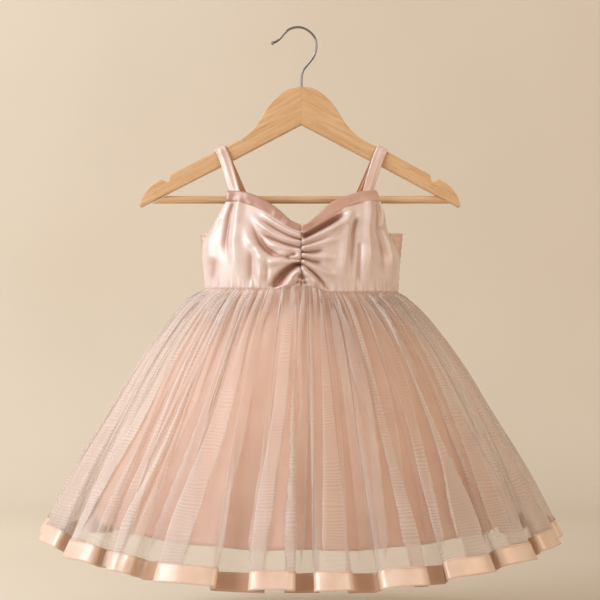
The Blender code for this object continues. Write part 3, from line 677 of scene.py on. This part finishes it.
# the two halves are cut along opposite bias lines, and the different shine that gives them is painted into
# their colours as painted shade: both are darker than the bodice's satin, the left half more so
left_band_painted_shade_satin = satin("band_satin_left_painted_shade", "B58B79", "A97D6A", 0.42)
right_band_painted_shade_satin = satin("band_satin_right_painted_shade", "CBA292", "C09584", 0.42)
for side, hand, band_satin, creases in (
    (-1, "left", left_band_painted_shade_satin, LEFT_CREASES), (1, "right", right_band_painted_shade_satin, RIGHT_CREASES),
):
    height, before = np.array(BAND_FOLD)[:, :1], np.array(BAND_FOLD)[:, 1:] / 1000
    x = BAND_END * np.linspace(0, 1, 70)[None, :] * (1 - BAND_TAPER * height)
    low = through(NECK_SEAM, x) + BAND_GAP
    if side < 0:
        dip = LEFT_DIP * (1 - eased((x - LEFT_DIP_FROM) / LEFT_DIP_OVER))
    else:
        dip = RIGHT_DIP * bump_at(x - RIGHT_DIP_AT, RIGHT_DIP_REACH)
        dip = dip - RIGHT_RISE * bump_at(x - RIGHT_RISE_AT, RIGHT_RISE_REACH)
    z = low + (through(NECK_EDGE, x) - dip - low) * height
    grid = front_form(x, z)
    grid[:, :, 0] += armhole(side, x / BAND_END, z)
    grid = grid * np.array((side, 1, 1))
    steep_x, steep_y = grid[:, :, 0] / full_half(z) ** 2, grid[:, :, 1] / through(FRONT_PLAN, z, 3) ** 2
    out = np.stack(np.broadcast_arrays(steep_x, steep_y, 0), axis=-1)
    out /= np.linalg.norm(out, axis=2, keepdims=True)
    # its own creases show on its front only; the bodice's run on into its lower part
    own = np.where(before > 0, creased(side * x, z, BAND_CREASES), 0)
    lift = before + own * eased(height * (1 - height) * 9)
    follow = (0.9 if side < 0 else 0.2) * (1 - eased(height / 0.7))
    lift += creased(side * x, low + 0 * z, creases) * follow
    lift -= np.where(before > 0, BAND_SEAM_DRAW, 0) * bump_at(x, BAND_SEAM_GROOVE)
    grid = grid + out * lift[:, :, None]
    band = cloth(
        f"neck_band_satin_{hand}", grid, band_satin, (f"neck_band_{hand}",), flip=side < 0,
    )
    stitches(f"band_stitches_{hand}", grid[2, 3:], out[2, 3:], blush_thread, STITCH)

# ---------------------------------------------------------------- straps
# A strip of satin folded double and pressed, with a soft crease along its middle. Each runs from
# inside the neck band over the hanger's arm to inside the shirred back.
STRAP_WIDTH = 0.0125
STRAP_HALF_THICK = 0.0006
STRAP_RIDGE = 0.0019
STRAP_SWAY = 0.0004
STRAP_PATH = (  # x from the middle, y, z, the width's tilt and turn in degrees; band first
    (0.0705, -0.0224, -0.1900, -16.0, 21.0), (0.0728, -0.0193, -0.1800, -17.0, 21.0),
    (0.0775, -0.0142, -0.1640, -18.0, 13.0), (0.0838, -0.0084, -0.1445, -20.0, 4.0),
    (0.0874, -0.0072, -0.1362, -26.0, 0.0), (0.0886, -0.0068, -0.1336, -28.0, 0.0),
    (0.0890, -0.0058, -0.1320, -29.0, 0.0), (0.0892, 0.0000, -0.1315, -29.0, 0.0),
    (0.0890, 0.0058, -0.1320, -29.0, 0.0), (0.0886, 0.0068, -0.1336, -28.0, 0.0),
    (0.0872, 0.0073, -0.1364, -26.0, 0.0), (0.0822, 0.0100, -0.1470, -23.0, -1.0),
    (0.0725, 0.0196, -0.1690, -23.0, -5.0), (0.0595, 0.0325, -0.1990, -23.0, -9.0),
    (0.0490, 0.0408, -0.2230, -22.0, -12.0), (0.0455, 0.0416, -0.2320, -21.0, -12.0),
)
STRAP_TOP = 7  # the row of the path that lies on the hanger's arm
strap_satin = satin("strap_satin", "DEC6BC", "D6BAAF", 0.38)
# the wrong side of the satin is dull, and its deeper colour is painted shade
strap_underside_painted_shade = satin("strap_satin_underside_painted_shade", "C78E69", "BC835E", 0.55)
for side, hand in ((-1, "left"), (1, "right")):
    rows = [(k, *row) for k, row in enumerate(STRAP_PATH)]
    at = np.linspace(0, len(rows) - 1, 106)
    x, y, z, tilt, turn = [through(rows, at, k) for k in range(1, 6)]
    tilt, turn = np.radians(tilt), np.radians(turn)
    path = np.stack([side * x, y, z], axis=-1)
    across = [side * np.cos(tilt) * np.cos(turn), np.cos(tilt) * np.sin(turn), np.sin(tilt)]
    across = np.stack(across, axis=-1)
    normal = np.cross(np.gradient(path, axis=0), across)
    normal /= np.linalg.norm(normal, axis=1, keepdims=True)
    normal *= np.sign(normal[len(at) // 2, 2])
    # one loop round the strap's section: over its face from edge to edge, and back underneath
    over, under = np.linspace(math.pi, 0, 11), np.linspace(0, math.pi, 11)[1:]
    width = np.cos(np.concatenate([over, under]))
    face = np.concatenate([np.ones(len(over)), -np.ones(len(under))])
    # the crease along its middle is pressed flat on the arm, and fades out at both ends
    off_arm = 0.08 + 0.92 * eased((abs(at - STRAP_TOP) - 1.4) / 2.2)
    ridge = STRAP_RIDGE * eased((at - 0.6) / 1.2) * off_arm * eased((15 - at) / 2)
    ridge = ridge * (1 + 0.3 * np.sin(at * 2.1 + side))
    rise = ridge[:, None] * (0.5 + 0.5 * np.cos(5.8 * width - 0.7)) * (1 - width**4)
    rise = rise + STRAP_HALF_THICK * face * np.sqrt(np.clip(1 - width**6, 0, 1))
    sway = STRAP_SWAY * np.sin(at * 1.7 + 2 * side)[:, None] * width
    grid = path[:, None] + across[:, None] * width[None, :, None] * STRAP_WIDTH / 2
    grid = grid + normal[:, None] * (rise + sway)[:, :, None]
    strap = cloth(f"strap_satin_{hand}", grid, strap_satin, (f"strap_{hand}",))
    strap.data.materials.append(strap_underside_painted_shade)
    beneath = [int(k % (len(width) - 1) >= 10) for k in range(len(strap.data.polygons))]
    strap.data.polygons.foreach_set("material_index", beneath)
    bpy.ops.object.select_all(action="DESELECT")
    strap.select_set(True)
    bpy.context.view_layer.objects.active = strap
    bpy.ops.object.mode_set(mode="EDIT")
    bpy.ops.mesh.select_all(action="SELECT")
    bpy.ops.mesh.remove_doubles(threshold=0.00001)
    bpy.ops.mesh.fill_holes(sides=0)
    bpy.ops.mesh.normals_make_consistent(inside=False)
    bpy.ops.object.mode_set(mode="OBJECT")

# ---------------------------------------------------------------- bodice back
# One piece of satin shirred on rows of elastic thread, which draw it up into fine upright ribs.
# Its top edge is turned in and stitched straight.
BACK_PLAN = (  # z, half width, half depth
    (-0.2870, 0.1056, 0.0500), (-0.2540, 0.1080, 0.0500), (-0.2260, 0.1108, 0.0490),
)
BACK_TOP_Z = -0.2262
SHIRR_RIBS = 88
SIDE_WRAP = 12.0  # degrees that each side runs on, round to the front and behind its edge
SHIRR_ROWS = (-0.2790, -0.2705, -0.2620, -0.2535, -0.2450, -0.2365, -0.2300)
RIB_HEIGHT = 0.0010
PINCH, PINCH_WIDE = 0.0003, 0.0011  # how far the rows of elastic sink in, and half their width
BACK_GAP = 0.0004
WRAP_IN, WRAP_IN_MORE = 0.0045, 0.0135  # how far the wrapped sides draw in, and how much more high up
WRAP_IN_FROM, WRAP_IN_OVER = -0.2560, 0.0280
WRAP_FORWARD = 0.0095
TOP_HEM, TOP_HEM_RISE = 0.0045, 0.0004  # height and thickness of the turned top edge
random = np.random.default_rng(11)
shirred_satin = satin("shirred_satin", "D6B7A9", "CCAA9B", 0.44)
columns = SHIRR_RIBS * 5
turn = np.linspace(-90 - SIDE_WRAP, 90 + SIDE_WRAP, columns + 1)[None, :]
wrap = np.clip(np.abs(turn) - 90, 0, SIDE_WRAP) / SIDE_WRAP
turn = np.radians(np.clip(turn, -90, 90))
rise = np.linspace(0, 1, 52)[:, None]
low = waist(WAIST_HALF * np.sin(turn), False) - BACK_GAP
z = low + rise * (BACK_TOP_Z - low)
inward = WRAP_IN + WRAP_IN_MORE * eased((z - WRAP_IN_FROM) / WRAP_IN_OVER)
grid = np.stack(np.broadcast_arrays(
    (through(BACK_PLAN, z, 1) - inward * wrap) * np.sin(turn),
    through(BACK_PLAN, z, 2) * np.cos(turn) - WRAP_FORWARD * wrap * (2 - wrap), z,
), axis=-1)
# upright ribs of uneven height that wander a little, pinched by the rows and flat at the top
drift = 0.5 * np.sin(z * 160 + 1.3) + 0.35 * np.sin(z * 410 + turn * 5)
rib = np.linspace(0, SHIRR_RIBS, columns + 1)[None, :]
height = np.interp(rib, np.arange(SHIRR_RIBS + 1), random.uniform(0.6, 1.25, SHIRR_RIBS + 1))
ribs = RIB_HEIGHT * height * (0.5 - 0.5 * np.cos(2 * np.pi * (rib + 0.12 * drift)))
pinch = sum(bump_at(z - row, PINCH_WIDE) for row in SHIRR_ROWS)
ribs = ribs * (1 - 0.45 * pinch) - PINCH * pinch
ribs = ribs * (1 - 0.8 * eased((z - BACK_TOP_Z + TOP_HEM - 0.001) / 0.001))
ribs = ribs + TOP_HEM_RISE * eased((z - BACK_TOP_Z + TOP_HEM) / 0.001)
out = outward(grid)
grid = grid + out * ribs[:, :, None]
back = cloth("shirred_back", grid, shirred_satin, ("bodice_back",), SATIN_THICK)
stitches("back_stitches", (grid + out * 0.0003)[-3], out[-3], blush_thread, STITCH)

# ---------------------------------------------------------------- lining
# A plain A-line underskirt of peach lining satin in two halves, sewn into the waist seam, with a
# narrow turned hem that ends well above the net's.
SKIRT_GAP = 0.00015
LINING_THICK = 0.0004
LINING_INSET, LINING_LENGTH = 0.0020, 0.278
LINING_WAVES, LINING_WAVE_HEIGHT = 16, 0.0065
LINING_GATHER_HEIGHT = 0.0016
LINING_FLARE = (  # share of the length, how far the cloth has gone out at the side, at the front
    (0.0, 0.0, 0.0), (0.5, 0.0590, 0.0430), (1.0, 0.1240, 0.0880),
)
LINING_HEM, LINING_HEM_RISE = 0.012, 0.0004


def round_waist(turn):
    """Where angles round the waist lie on its plan, as shares of its sizes, and which way is out."""
    radial = np.stack([np.sin(turn), -np.cos(turn)], axis=-1)
    out = np.stack([WAIST_DEPTH * radial[:, 0], WAIST_HALF * radial[:, 1]], axis=-1)
    return radial, out / np.linalg.norm(out, axis=1, keepdims=True)


def hanging(turn, lift, slide, lengths, flare, inset=0.0, evened=1):
    """Rows of points hung from the waist: each is farther down by one length of cloth, and moved
    out from the skirt's plain form by its lift and round it by its slide."""
    half, depth = WAIST_HALF - inset, WAIST_DEPTH - inset
    radial, out = round_waist(turn)
    round_it = np.stack([-out[:, 1], out[:, 0]], axis=-1)
    top = waist(WAIST_HALF * np.sin(turn), np.cos(turn) > 0) - SKIRT_GAP
    z = top.copy()
    grid = np.zeros((len(lengths), len(turn), 3))
    for i, length in enumerate(lengths):
        share = length / lengths[-1]
        size = np.array((half + through(flare, share, 1), depth + through(flare, share, 2)))
        # the cloth's own length is measured without the small sideways moves of its folds
        form = radial * size + out * lift[i][:, None]
        if i:
            run = np.linalg.norm(form - form_above, axis=1)
            z = z - np.sqrt(np.maximum((length - lengths[i - 1]) ** 2 - run**2, 1e-9))
        form_above = form
        # each row's height is evened over its neighbours: the cloth carries the strain sideways too
        mean = np.pad(z[:-1], evened // 2, mode="wrap")
        mean = np.convolve(mean, np.ones(evened) / evened, mode="valid")
        height = z + (np.append(mean, mean[0]) - z) * eased(share * 4)
        # the seam's own ups and downs fade out toward the hem
        height = height + (WAIST_Z - top) * 0.7 * eased(share)
        grid[i] = np.column_stack([form + round_it * slide[i][:, None], height])
    return grid


def uneven(random, low, high, places, total, count=None):
    """Smoothly changing values round the skirt, through random ones that close on themselves."""
    count = count or total
    values = random.uniform(low, high, count)
    at = places / total * count
    before = np.floor(at).astype(int)
    blend = eased(at - before)
    return values[before % count] * (1 - blend) + values[(before + 1) % count] * blend


def halves(seam):
    """The columns of the front and of the back, which meet in the side seams."""
    return ("front", slice(0, seam + 1)), ("back", slice(seam, None))


# acetate lining satin: a dull even sheen, deeper in colour than the dress so the net glows over it
peach_lining = satin("peach_lining", "E4BAA2", "DEAF95", 0.5)
random = np.random.default_rng(5)
columns = LINING_WAVES * 16
wave = np.linspace(0, LINING_WAVES, columns + 1)
turn = np.radians(-90 + 360 * wave / LINING_WAVES)
shares = np.linspace(0, 1, 56)[:, None]
wave_height = LINING_WAVE_HEIGHT * uneven(random, 0.5, 1.0, wave, LINING_WAVES)
gather_height = LINING_GATHER_HEIGHT * uneven(random, 0.3, 1.0, wave, LINING_WAVES, 32)
lift = shares**1.5 * wave_height * np.cos(2 * np.pi * wave)
near_waist = eased(shares / 0.05) * (1 - eased(shares / 0.5))
lift = lift + gather_height * near_waist * np.cos(6 * np.pi * wave)
lift = lift + LINING_HEM_RISE * (shares > 1 - LINING_HEM / LINING_LENGTH)
lengths = shares[:, 0] * LINING_LENGTH
grid = hanging(turn, lift, np.zeros_like(lift), lengths, LINING_FLARE, LINING_INSET)
for half, span in halves(columns // 2):
    lining = cloth(
        f"lining_{half}_satin", grid[:, span], peach_lining,
        (f"lining_{half}",), LINING_THICK,
    )

# ---------------------------------------------------------------- net skirt
# Two widths of soft nylon net, many times gathered into the waist seam. The gathers run together
# into deep rounded folds that lean over one another and open out to the hem.
NET_LENGTH = 0.323
NET_FLARE = (  # share of the length, how far the cloth has gone out at the side, at the front
    (0.00, 0.0000, 0.0000), (0.04, 0.0110, 0.0065), (0.10, 0.0258, 0.0170), (0.20, 0.0465, 0.0315),
    (0.35, 0.0735, 0.0500), (0.50, 0.0970, 0.0660), (0.75, 0.1350, 0.0945), (1.00, 0.1685, 0.1220),
)
FOLDS = (  # degrees from the front's middle to each fold's crest, its height, how wide its crest is
    (-90, 0.0115, 0.2), (-74, 0.0100, 0.5), (-54, 0.0090, 0.4), (-41, 0.0100, 0.5),
    (-24, 0.0130, 0.7), (-5, 0.0140, -0.1), (6, 0.0120, 0.1), (21, 0.0135, 0.4),
    (37, 0.0125, 0.2), (52, 0.0105, 0.4), (69, 0.0105, 0.3), (90, 0.0110, 0.2),
    (109, 0.0110, 0.4), (123, 0.0105, 0.0), (138, 0.0120, 0.5), (154, 0.0130, 0.2),
    (170, 0.0125, 0.6), (184, 0.0130, 0.0), (199, 0.0135, 0.3), (215, 0.0120, 0.5),
    (231, 0.0115, 0.1), (249, 0.0110, 0.4), (270, 0.0115, 0.2),
)
FRONT_FOLDS = 11
FOLD_STEPS = 60
RIBBON_FROM = 0.941  # share of the length where the ribbon's top edge lies
RIBBON_ROWS = 9
PANELS = 84
PANEL_HEIGHT = (  # share of the length, how far the flat panels stand before and behind the form
    (0.0, 0.0003), (0.05, 0.0010), (0.12, 0.0018), (0.3, 0.0026), (0.6, 0.0030), (0.85, 0.0026),
    (0.94, 0.0008), (1.0, 0.0003),
)
GATHERS = 124
GATHER_HEIGHT = (  # share of the length, height of the fine gathers under the seam
    (0.0, 0.0008), (0.03, 0.0027), (0.08, 0.0024), (0.16, 0.0016), (0.28, 0.0008), (0.45, 0.0002),
    (1.0, 0.0),
)
TEARS = 70
TEAR_RIM, TEAR_DEPTH = 0.0008, 0.0022
NET_CLEAR = 0.0030  # how far the net's valleys stay from the lining
NET_REST = 0.0012  # over what depth they come to rest there
NET_RIPPLE = 0.0036
NET_PATCHES, NET_CLOUDS = 0.0333, 0.04  # spacings of the ripple's stronger patches and of the tint
NET_GLOW = 0.5

# soft nylon net: a layer lets about half of the light through, and layers whiten where they overlap. Its
# holes of 1 mm would not show: the ripple that two layers make together is drawn, 3.6 mm apart
soft_net, tree, shader = material("soft_nylon_net", {
    "Roughness": 0.85, "Specular IOR Level": 0.2,
    "Sheen Weight": 0.8, "Sheen Roughness": 0.4, "Sheen Tint": "FFF0E8",
})
uv = node(tree, "UVMap", uv_map="threads")
ripple = node(
    tree, "TexWave",
    {"Vector": uv, "Scale": np.pi / 10 / NET_RIPPLE, "Distortion": 16.0, "Detail": 2.0, "Detail Scale": 0.3},
    wave_type="BANDS", bands_direction="Y",
)
patches = node(tree, "TexNoise", {"Vector": uv, "Scale": 1 / NET_PATCHES, "Detail": 2.0})
strength = node(tree, "MapRange", {0: patches, 1: 0.42, 2: 0.68, 3: 0.02, 4: 0.36})
# the pressed panels are the net doubled on itself, and their hollows are one layer, with no ripple
single = node(tree, "Attribute", attribute_name="hollow").outputs["Fac"]
twofold = node(tree, "MapRange", {0: single, 1: 0.35, 2: 0.75, 3: 1.0, 4: 0.0})
centred = node(tree, "Math", {0: ripple.outputs["Fac"], 1: 0.5}, operation="SUBTRACT")
swing = node(tree, "Math", {0: centred, 1: twofold}, operation="MULTIPLY")
swing = node(tree, "Math", {0: swing, 1: strength}, operation="MULTIPLY")
threads = node(tree, "Math", {0: swing, 1: 1.0}, operation="ADD")
# a layer covers more where it is seen at a slant, near the seam and where it is doubled
slant = node(tree, "LayerWeight", {"Blend": 0.5}).outputs["Facing"]
layer = node(tree, "MapRange", {0: slant, 1: 0.0, 2: 0.95, 3: 0.38, 4: 0.80})
below = node(tree, "SeparateXYZ", {"Vector": uv}).outputs["Y"]
bunched = node(tree, "MapRange", {0: below, 1: 0.0, 2: 0.13, 3: 0.10, 4: 0.0})
doubled = node(tree, "MapRange", {0: single, 1: 0.0, 2: 1.0, 3: 1.5, 4: 0.78})
closer = node(tree, "Math", {0: layer, 1: bunched}, operation="ADD")
closer = node(tree, "Math", {0: closer, 1: doubled}, operation="MULTIPLY")
cover = node(tree, "Math", {0: closer, 1: threads}, operation="MULTIPLY", use_clamp=True)
# threads scatter light all ways, so a fold's shading is softened toward the skirt's plain round
place = node(tree, "TexCoord").outputs["Object"]
plain_out = node(tree, "VectorMath", {0: place, 1: (1.0, 1.5, 0.0)}, operation="MULTIPLY")
plain_out = node(tree, "VectorMath", {0: plain_out}, operation="NORMALIZE")
normal = node(tree, "NewGeometry").outputs["Normal"]
agree = node(tree, "VectorMath", {0: plain_out, 1: normal}, operation="DOT_PRODUCT").outputs["Value"]
agree = node(tree, "MapRange", {0: agree, 1: -0.3, 2: 0.3, 3: -1.5, 4: 1.5})
plain_out = node(tree, "VectorMath", {0: plain_out, "Scale": agree}, operation="SCALE")
softened = node(tree, "VectorMath", {0: plain_out, 1: normal}, operation="ADD")
softened = node(tree, "VectorMath", {0: softened}, operation="NORMALIZE")
clouds = node(tree, "TexNoise", {"Vector": uv, "Scale": 1 / NET_CLOUDS, "Detail": 2.0})
tint = node(tree, "ValToRGB", {"Fac": clouds}, stops=((0.35, "F6EFEB"), (0.65, "FBF6F2")))
feed(shader, {"Normal": softened, "Base Color": tint})
# half of the light that the threads catch goes on through them, to the other side
glow = node(tree, "BsdfTranslucent", {"Color": tint, "Normal": softened})
lit = node(tree, "MixShader", {0: NET_GLOW, 1: shader, 2: glow})
netting = node(tree, "MixShader", {0: cover, 1: node(tree, "BsdfTransparent"), 2: lit})
feed(tree.nodes["Material Output"], {"Surface": netting})


def cells(random, count, low, high, total):
    """Edges of uneven cells that fill a whole round."""
    widths = random.uniform(low, high, count)
    return np.concatenate([[0], np.cumsum(widths)]) / widths.sum() * total


def panelled(phase, steep, wide):
    """A wave with flat crests and valleys, wider crests where wide is above zero."""
    return np.tanh(steep * (np.cos(phase) + wide)) / np.tanh(steep)


def carried(smaller, larger, square):
    """Lift and slide of small folds that ride on larger ones: each point goes to where the small
    fold's slide has brought it on the larger, and stands off outward or square to the cloth."""
    rows = []
    for height, move, tall_row, slid, step in zip(*smaller, *larger, pace):
        rise, run = square * np.gradient(tall_row, fold), step + square * np.gradient(slid, fold)
        across = np.hypot(rise, run)
        tall_row, slid, sine, cosine = (
            np.interp((fold + move / step) % count, fold, row)
            for row in (tall_row, slid, rise / across, run / across)
        )
        rows.append((tall_row + height * cosine, slid + move - height * sine))
    return np.array(rows).transpose(1, 0, 2)


# the large folds: each rounded, leaning over its neighbour and toward the nearer side of the skirt
random = np.random.default_rng(23)
count = len(FOLDS) - 1
fold = np.linspace(0, count, count * FOLD_STEPS + 1)
turns, tall, wide = (np.interp(fold, np.arange(count + 1), column) for column in zip(*FOLDS))
turn = np.radians(turns)
spread = np.radians(np.gradient(turns, fold)) / (FOLD_STEPS + 1)
spread = np.convolve(np.pad(spread, FOLD_STEPS // 2, mode="wrap"), np.ones(FOLD_STEPS + 1), mode="valid")
shares = np.concatenate([
    RIBBON_FROM * np.linspace(0, 1, 72) ** 1.25, np.linspace(RIBBON_FROM, 1, RIBBON_ROWS)[1:],
])[:, None]
half_wide = WAIST_HALF + through(NET_FLARE, shares, 1)
half_deep = WAIST_DEPTH + through(NET_FLARE, shares, 2)
pace = np.hypot(half_wide * np.cos(turn), half_deep * np.sin(turn)) * spread  # metres round to one fold
lower_part = eased((shares - 0.3) / 0.6)
over = uneven(random, 0.10, 0.22, fold, count) * (0.4 + 0.6 * lower_part)
lean = uneven(random, -0.10, 0.10, fold, count)
rounder = eased((shares - 0.5) / 0.45)  # the ribbon's weight rounds the folds at the hem
fold_phase = 2 * np.pi * fold
lift = tall * (0.02 + 0.98 * shares**2.2)
lift = lift * panelled(fold_phase, 1.1 - 0.8 * rounder, wide * (1 - 0.5 * rounder))
aside = np.sin(2 * turn)
slide = pace * (over * np.sin(2 * fold_phase) + lean * shares * np.sin(fold_phase))
slide = slide + pace * 0.11 * aside * lower_part * np.cos(fold_phase)
# flat panels of uneven width, their edges tucked under; some open or close on the way down
at_top = np.interp(fold, cells(random, PANELS, 0.35, 2.0, count), np.arange(PANELS + 1))
at_hem = np.interp(fold, cells(random, PANELS, 0.5, 1.7, count), np.arange(PANELS + 1))
at_hem = 0.5 * at_top + 0.5 * at_hem
panel = at_top + (at_hem - at_top) * eased(shares)
panel_pace = pace / np.gradient(panel, fold, axis=1)
panel_phase = 2 * np.pi * panel
starts = uneven(random, -0.3, 0.4, panel, PANELS)
ends = uneven(random, 0.7, 1.6, panel, PANELS)
there = eased((shares - starts) / 0.45) * (1 - 0.85 * eased((shares - ends) / 0.4))
facing_front = 0.45 + 0.55 * np.abs(np.cos(turn))  # the sides are drawn smoother
panel_height = through(PANEL_HEIGHT, shares) * uneven(random, 0.15, 1.3, panel, PANELS) * there
panel_lift = panel_height * facing_front * panelled(panel_phase, 2.0, 0.1)
tuck = uneven(random, 0.05, 0.32, panel + 0.5, PANELS) * there * facing_front
tuck = tuck * eased(shares / 0.10) * (1 - 0.92 * eased((shares - 0.84) / 0.1))
shear = uneven(random, -0.08, 0.14, panel, PANELS) * np.sign(aside)
panel_slide = panel_pace * (tuck * np.sin(2 * panel_phase) + there * shear * np.cos(panel_phase))
# fine gathers under the waist seam
gather = np.interp(fold, cells(random, GATHERS, 0.5, 1.6, count), np.arange(GATHERS + 1))[None, :]
gather = gather + 0.6 * uneven(random, -1.0, 1.0, fold, count, 60) * eased(shares / 0.2)
gather_phase = 2 * np.pi * gather
reach = uneven(random, 0.3, 2.2, gather, GATHERS)
gather_height = through(GATHER_HEIGHT, shares / reach) * uneven(random, 0.3, 1.6, gather, GATHERS)
gather_height = gather_height * (0.3 + 0.7 * np.abs(np.cos(turn)))
gather_lift = gather_height * (panelled(gather_phase, 1.2, 0.1) + 0.2)
gather_tuck = uneven(random, -0.05, 0.24, gather + 0.5, GATHERS)
gather_tuck = gather_tuck * eased(shares / 0.02) * (1 - eased((shares / reach - 0.1) / 0.25))
gather_slide = pace * count / GATHERS * gather_tuck * np.sin(2 * gather_phase)
# the gathers pinch the net into short tear-shaped hollows that close as it opens out
for _ in range(TEARS):
    middle, end, deep = random.uniform(0, count), random.uniform(0.04, 0.16), random.uniform(0.4, 1.0)
    across = (fold[None, :] - middle + count / 2) % count - count / 2 + random.uniform(-1.5, 1.5) * shares
    across = np.abs(across) / (random.uniform(0.05, 0.12) * (0.35 + 0.65 * np.minimum(shares / end, 1.4)))
    open_here = eased((shares - 0.004) / 0.01) * (1 - eased((shares / end - 0.55) / 0.6))
    tear = TEAR_RIM * bump_at(across - 1.25, 0.35) - TEAR_DEPTH * np.exp(-(across**4))
    gather_lift = gather_lift + open_here * deep * tear
rides = carried((gather_lift, gather_slide), (panel_lift, panel_slide), 0)
lift, slide = carried(rides, (lift, slide), 1)

# how far the net is doubled: most on the panels and on the crests of the folds and gathers
layered = uneven(np.random.default_rng(31), 0.15, 1.0, panel, PANELS)
layered = layered * (0.5 + 0.5 * panelled(panel_phase, 1.5, 0.1)) * (0.45 + 0.55 * there)
layered = layered * (0.62 + 0.38 * panelled(fold_phase, 1.0, wide))
bunch = 0.5 + 0.5 * panelled(gather_phase, 1.2, 0.1)
layered = layered + (0.6 * bunch - layered) * (1 - eased(shares / 0.16))
# toward the side seams the net closes up, as more of its layers lie behind one another
layered = 1 - (1 - layered) * (1 - 0.6 * np.sin(turn) ** 2)

# the deep valleys come to rest on the lining
radial, out = round_waist(turn)
lined = np.minimum(shares * NET_LENGTH / LINING_LENGTH, 1)
gap_wide, gap_deep = (
    through(NET_FLARE, shares, k) - through(LINING_FLARE, lined, k) + LINING_INSET for k in (1, 2)
)
room = gap_wide * radial[:, 0] * out[:, 0] + gap_deep * radial[:, 1] * out[:, 1]
room = room - LINING_WAVE_HEIGHT * lined**1.5 - NET_CLEAR
lift = (lift - room + np.sqrt((lift + room) ** 2 + NET_REST**2)) / 2
for rows in (lift, slide, layered):
    rows[:, -1] = rows[:, 0]
net = hanging(turn, lift, slide, shares[:, 0] * NET_LENGTH, NET_FLARE, evened=17)
seam = FRONT_FOLDS * FOLD_STEPS
for half, span in halves(seam):
    sheet = cloth(
        f"net_{half}", net[:, span], soft_net, (f"tulle_{half}",), hollow=1 - layered[:, span],
    )

# ---------------------------------------------------------------- hem ribbon
# Double-faced satin ribbon 19 mm wide, sewn round the outside of the net's hem by its top edge.
# It follows the net's folds, and painted shade darkens its hollows, most of all on the front.
RIBBON_THICK = 0.0004
RIBBON_OUT = 0.0007  # how far it stands off the net
RIBBON_STITCH = 0.0034
# BA865E is painted shade for the ribbon's hollows
hem_ribbon = satin("ribbon_satin", "EBD4C4", "E0C1AB", 0.36, "BA865E")
hem = net[-RIBBON_ROWS:]
closed = np.concatenate([hem[:, -2:-1], hem, hem[:, 1:2]], axis=1)
out = outward(closed)[:, 1:-1]
hem = hem + out * RIBBON_OUT
# painted shade in the hollows between the folds, weaker on the back
ribbon_painted_shade = 0.95 * (0.5 - 0.5 * panelled(fold_phase, 1.0, wide)) * np.ones((RIBBON_ROWS, 1))
ribbon_painted_shade[:, seam:] *= 0.2
ribbon_thread = thread("ribbon_thread", "D2A68C", "DEB298")
stitch_line = hem[0] * 0.45 + hem[1] * 0.55 + out[0] * 0.0002
for half, span in halves(seam):
    name = f"hem_ribbon_{half}"
    ribbon = cloth(
        name, hem[:, span], hem_ribbon, (f"ribbon_{half}",), RIBBON_THICK,
        hollow=ribbon_painted_shade[:, span],
    )
    stitches(f"{name}_stitches", stitch_line[span], out[0, span], ribbon_thread, RIBBON_STITCH)
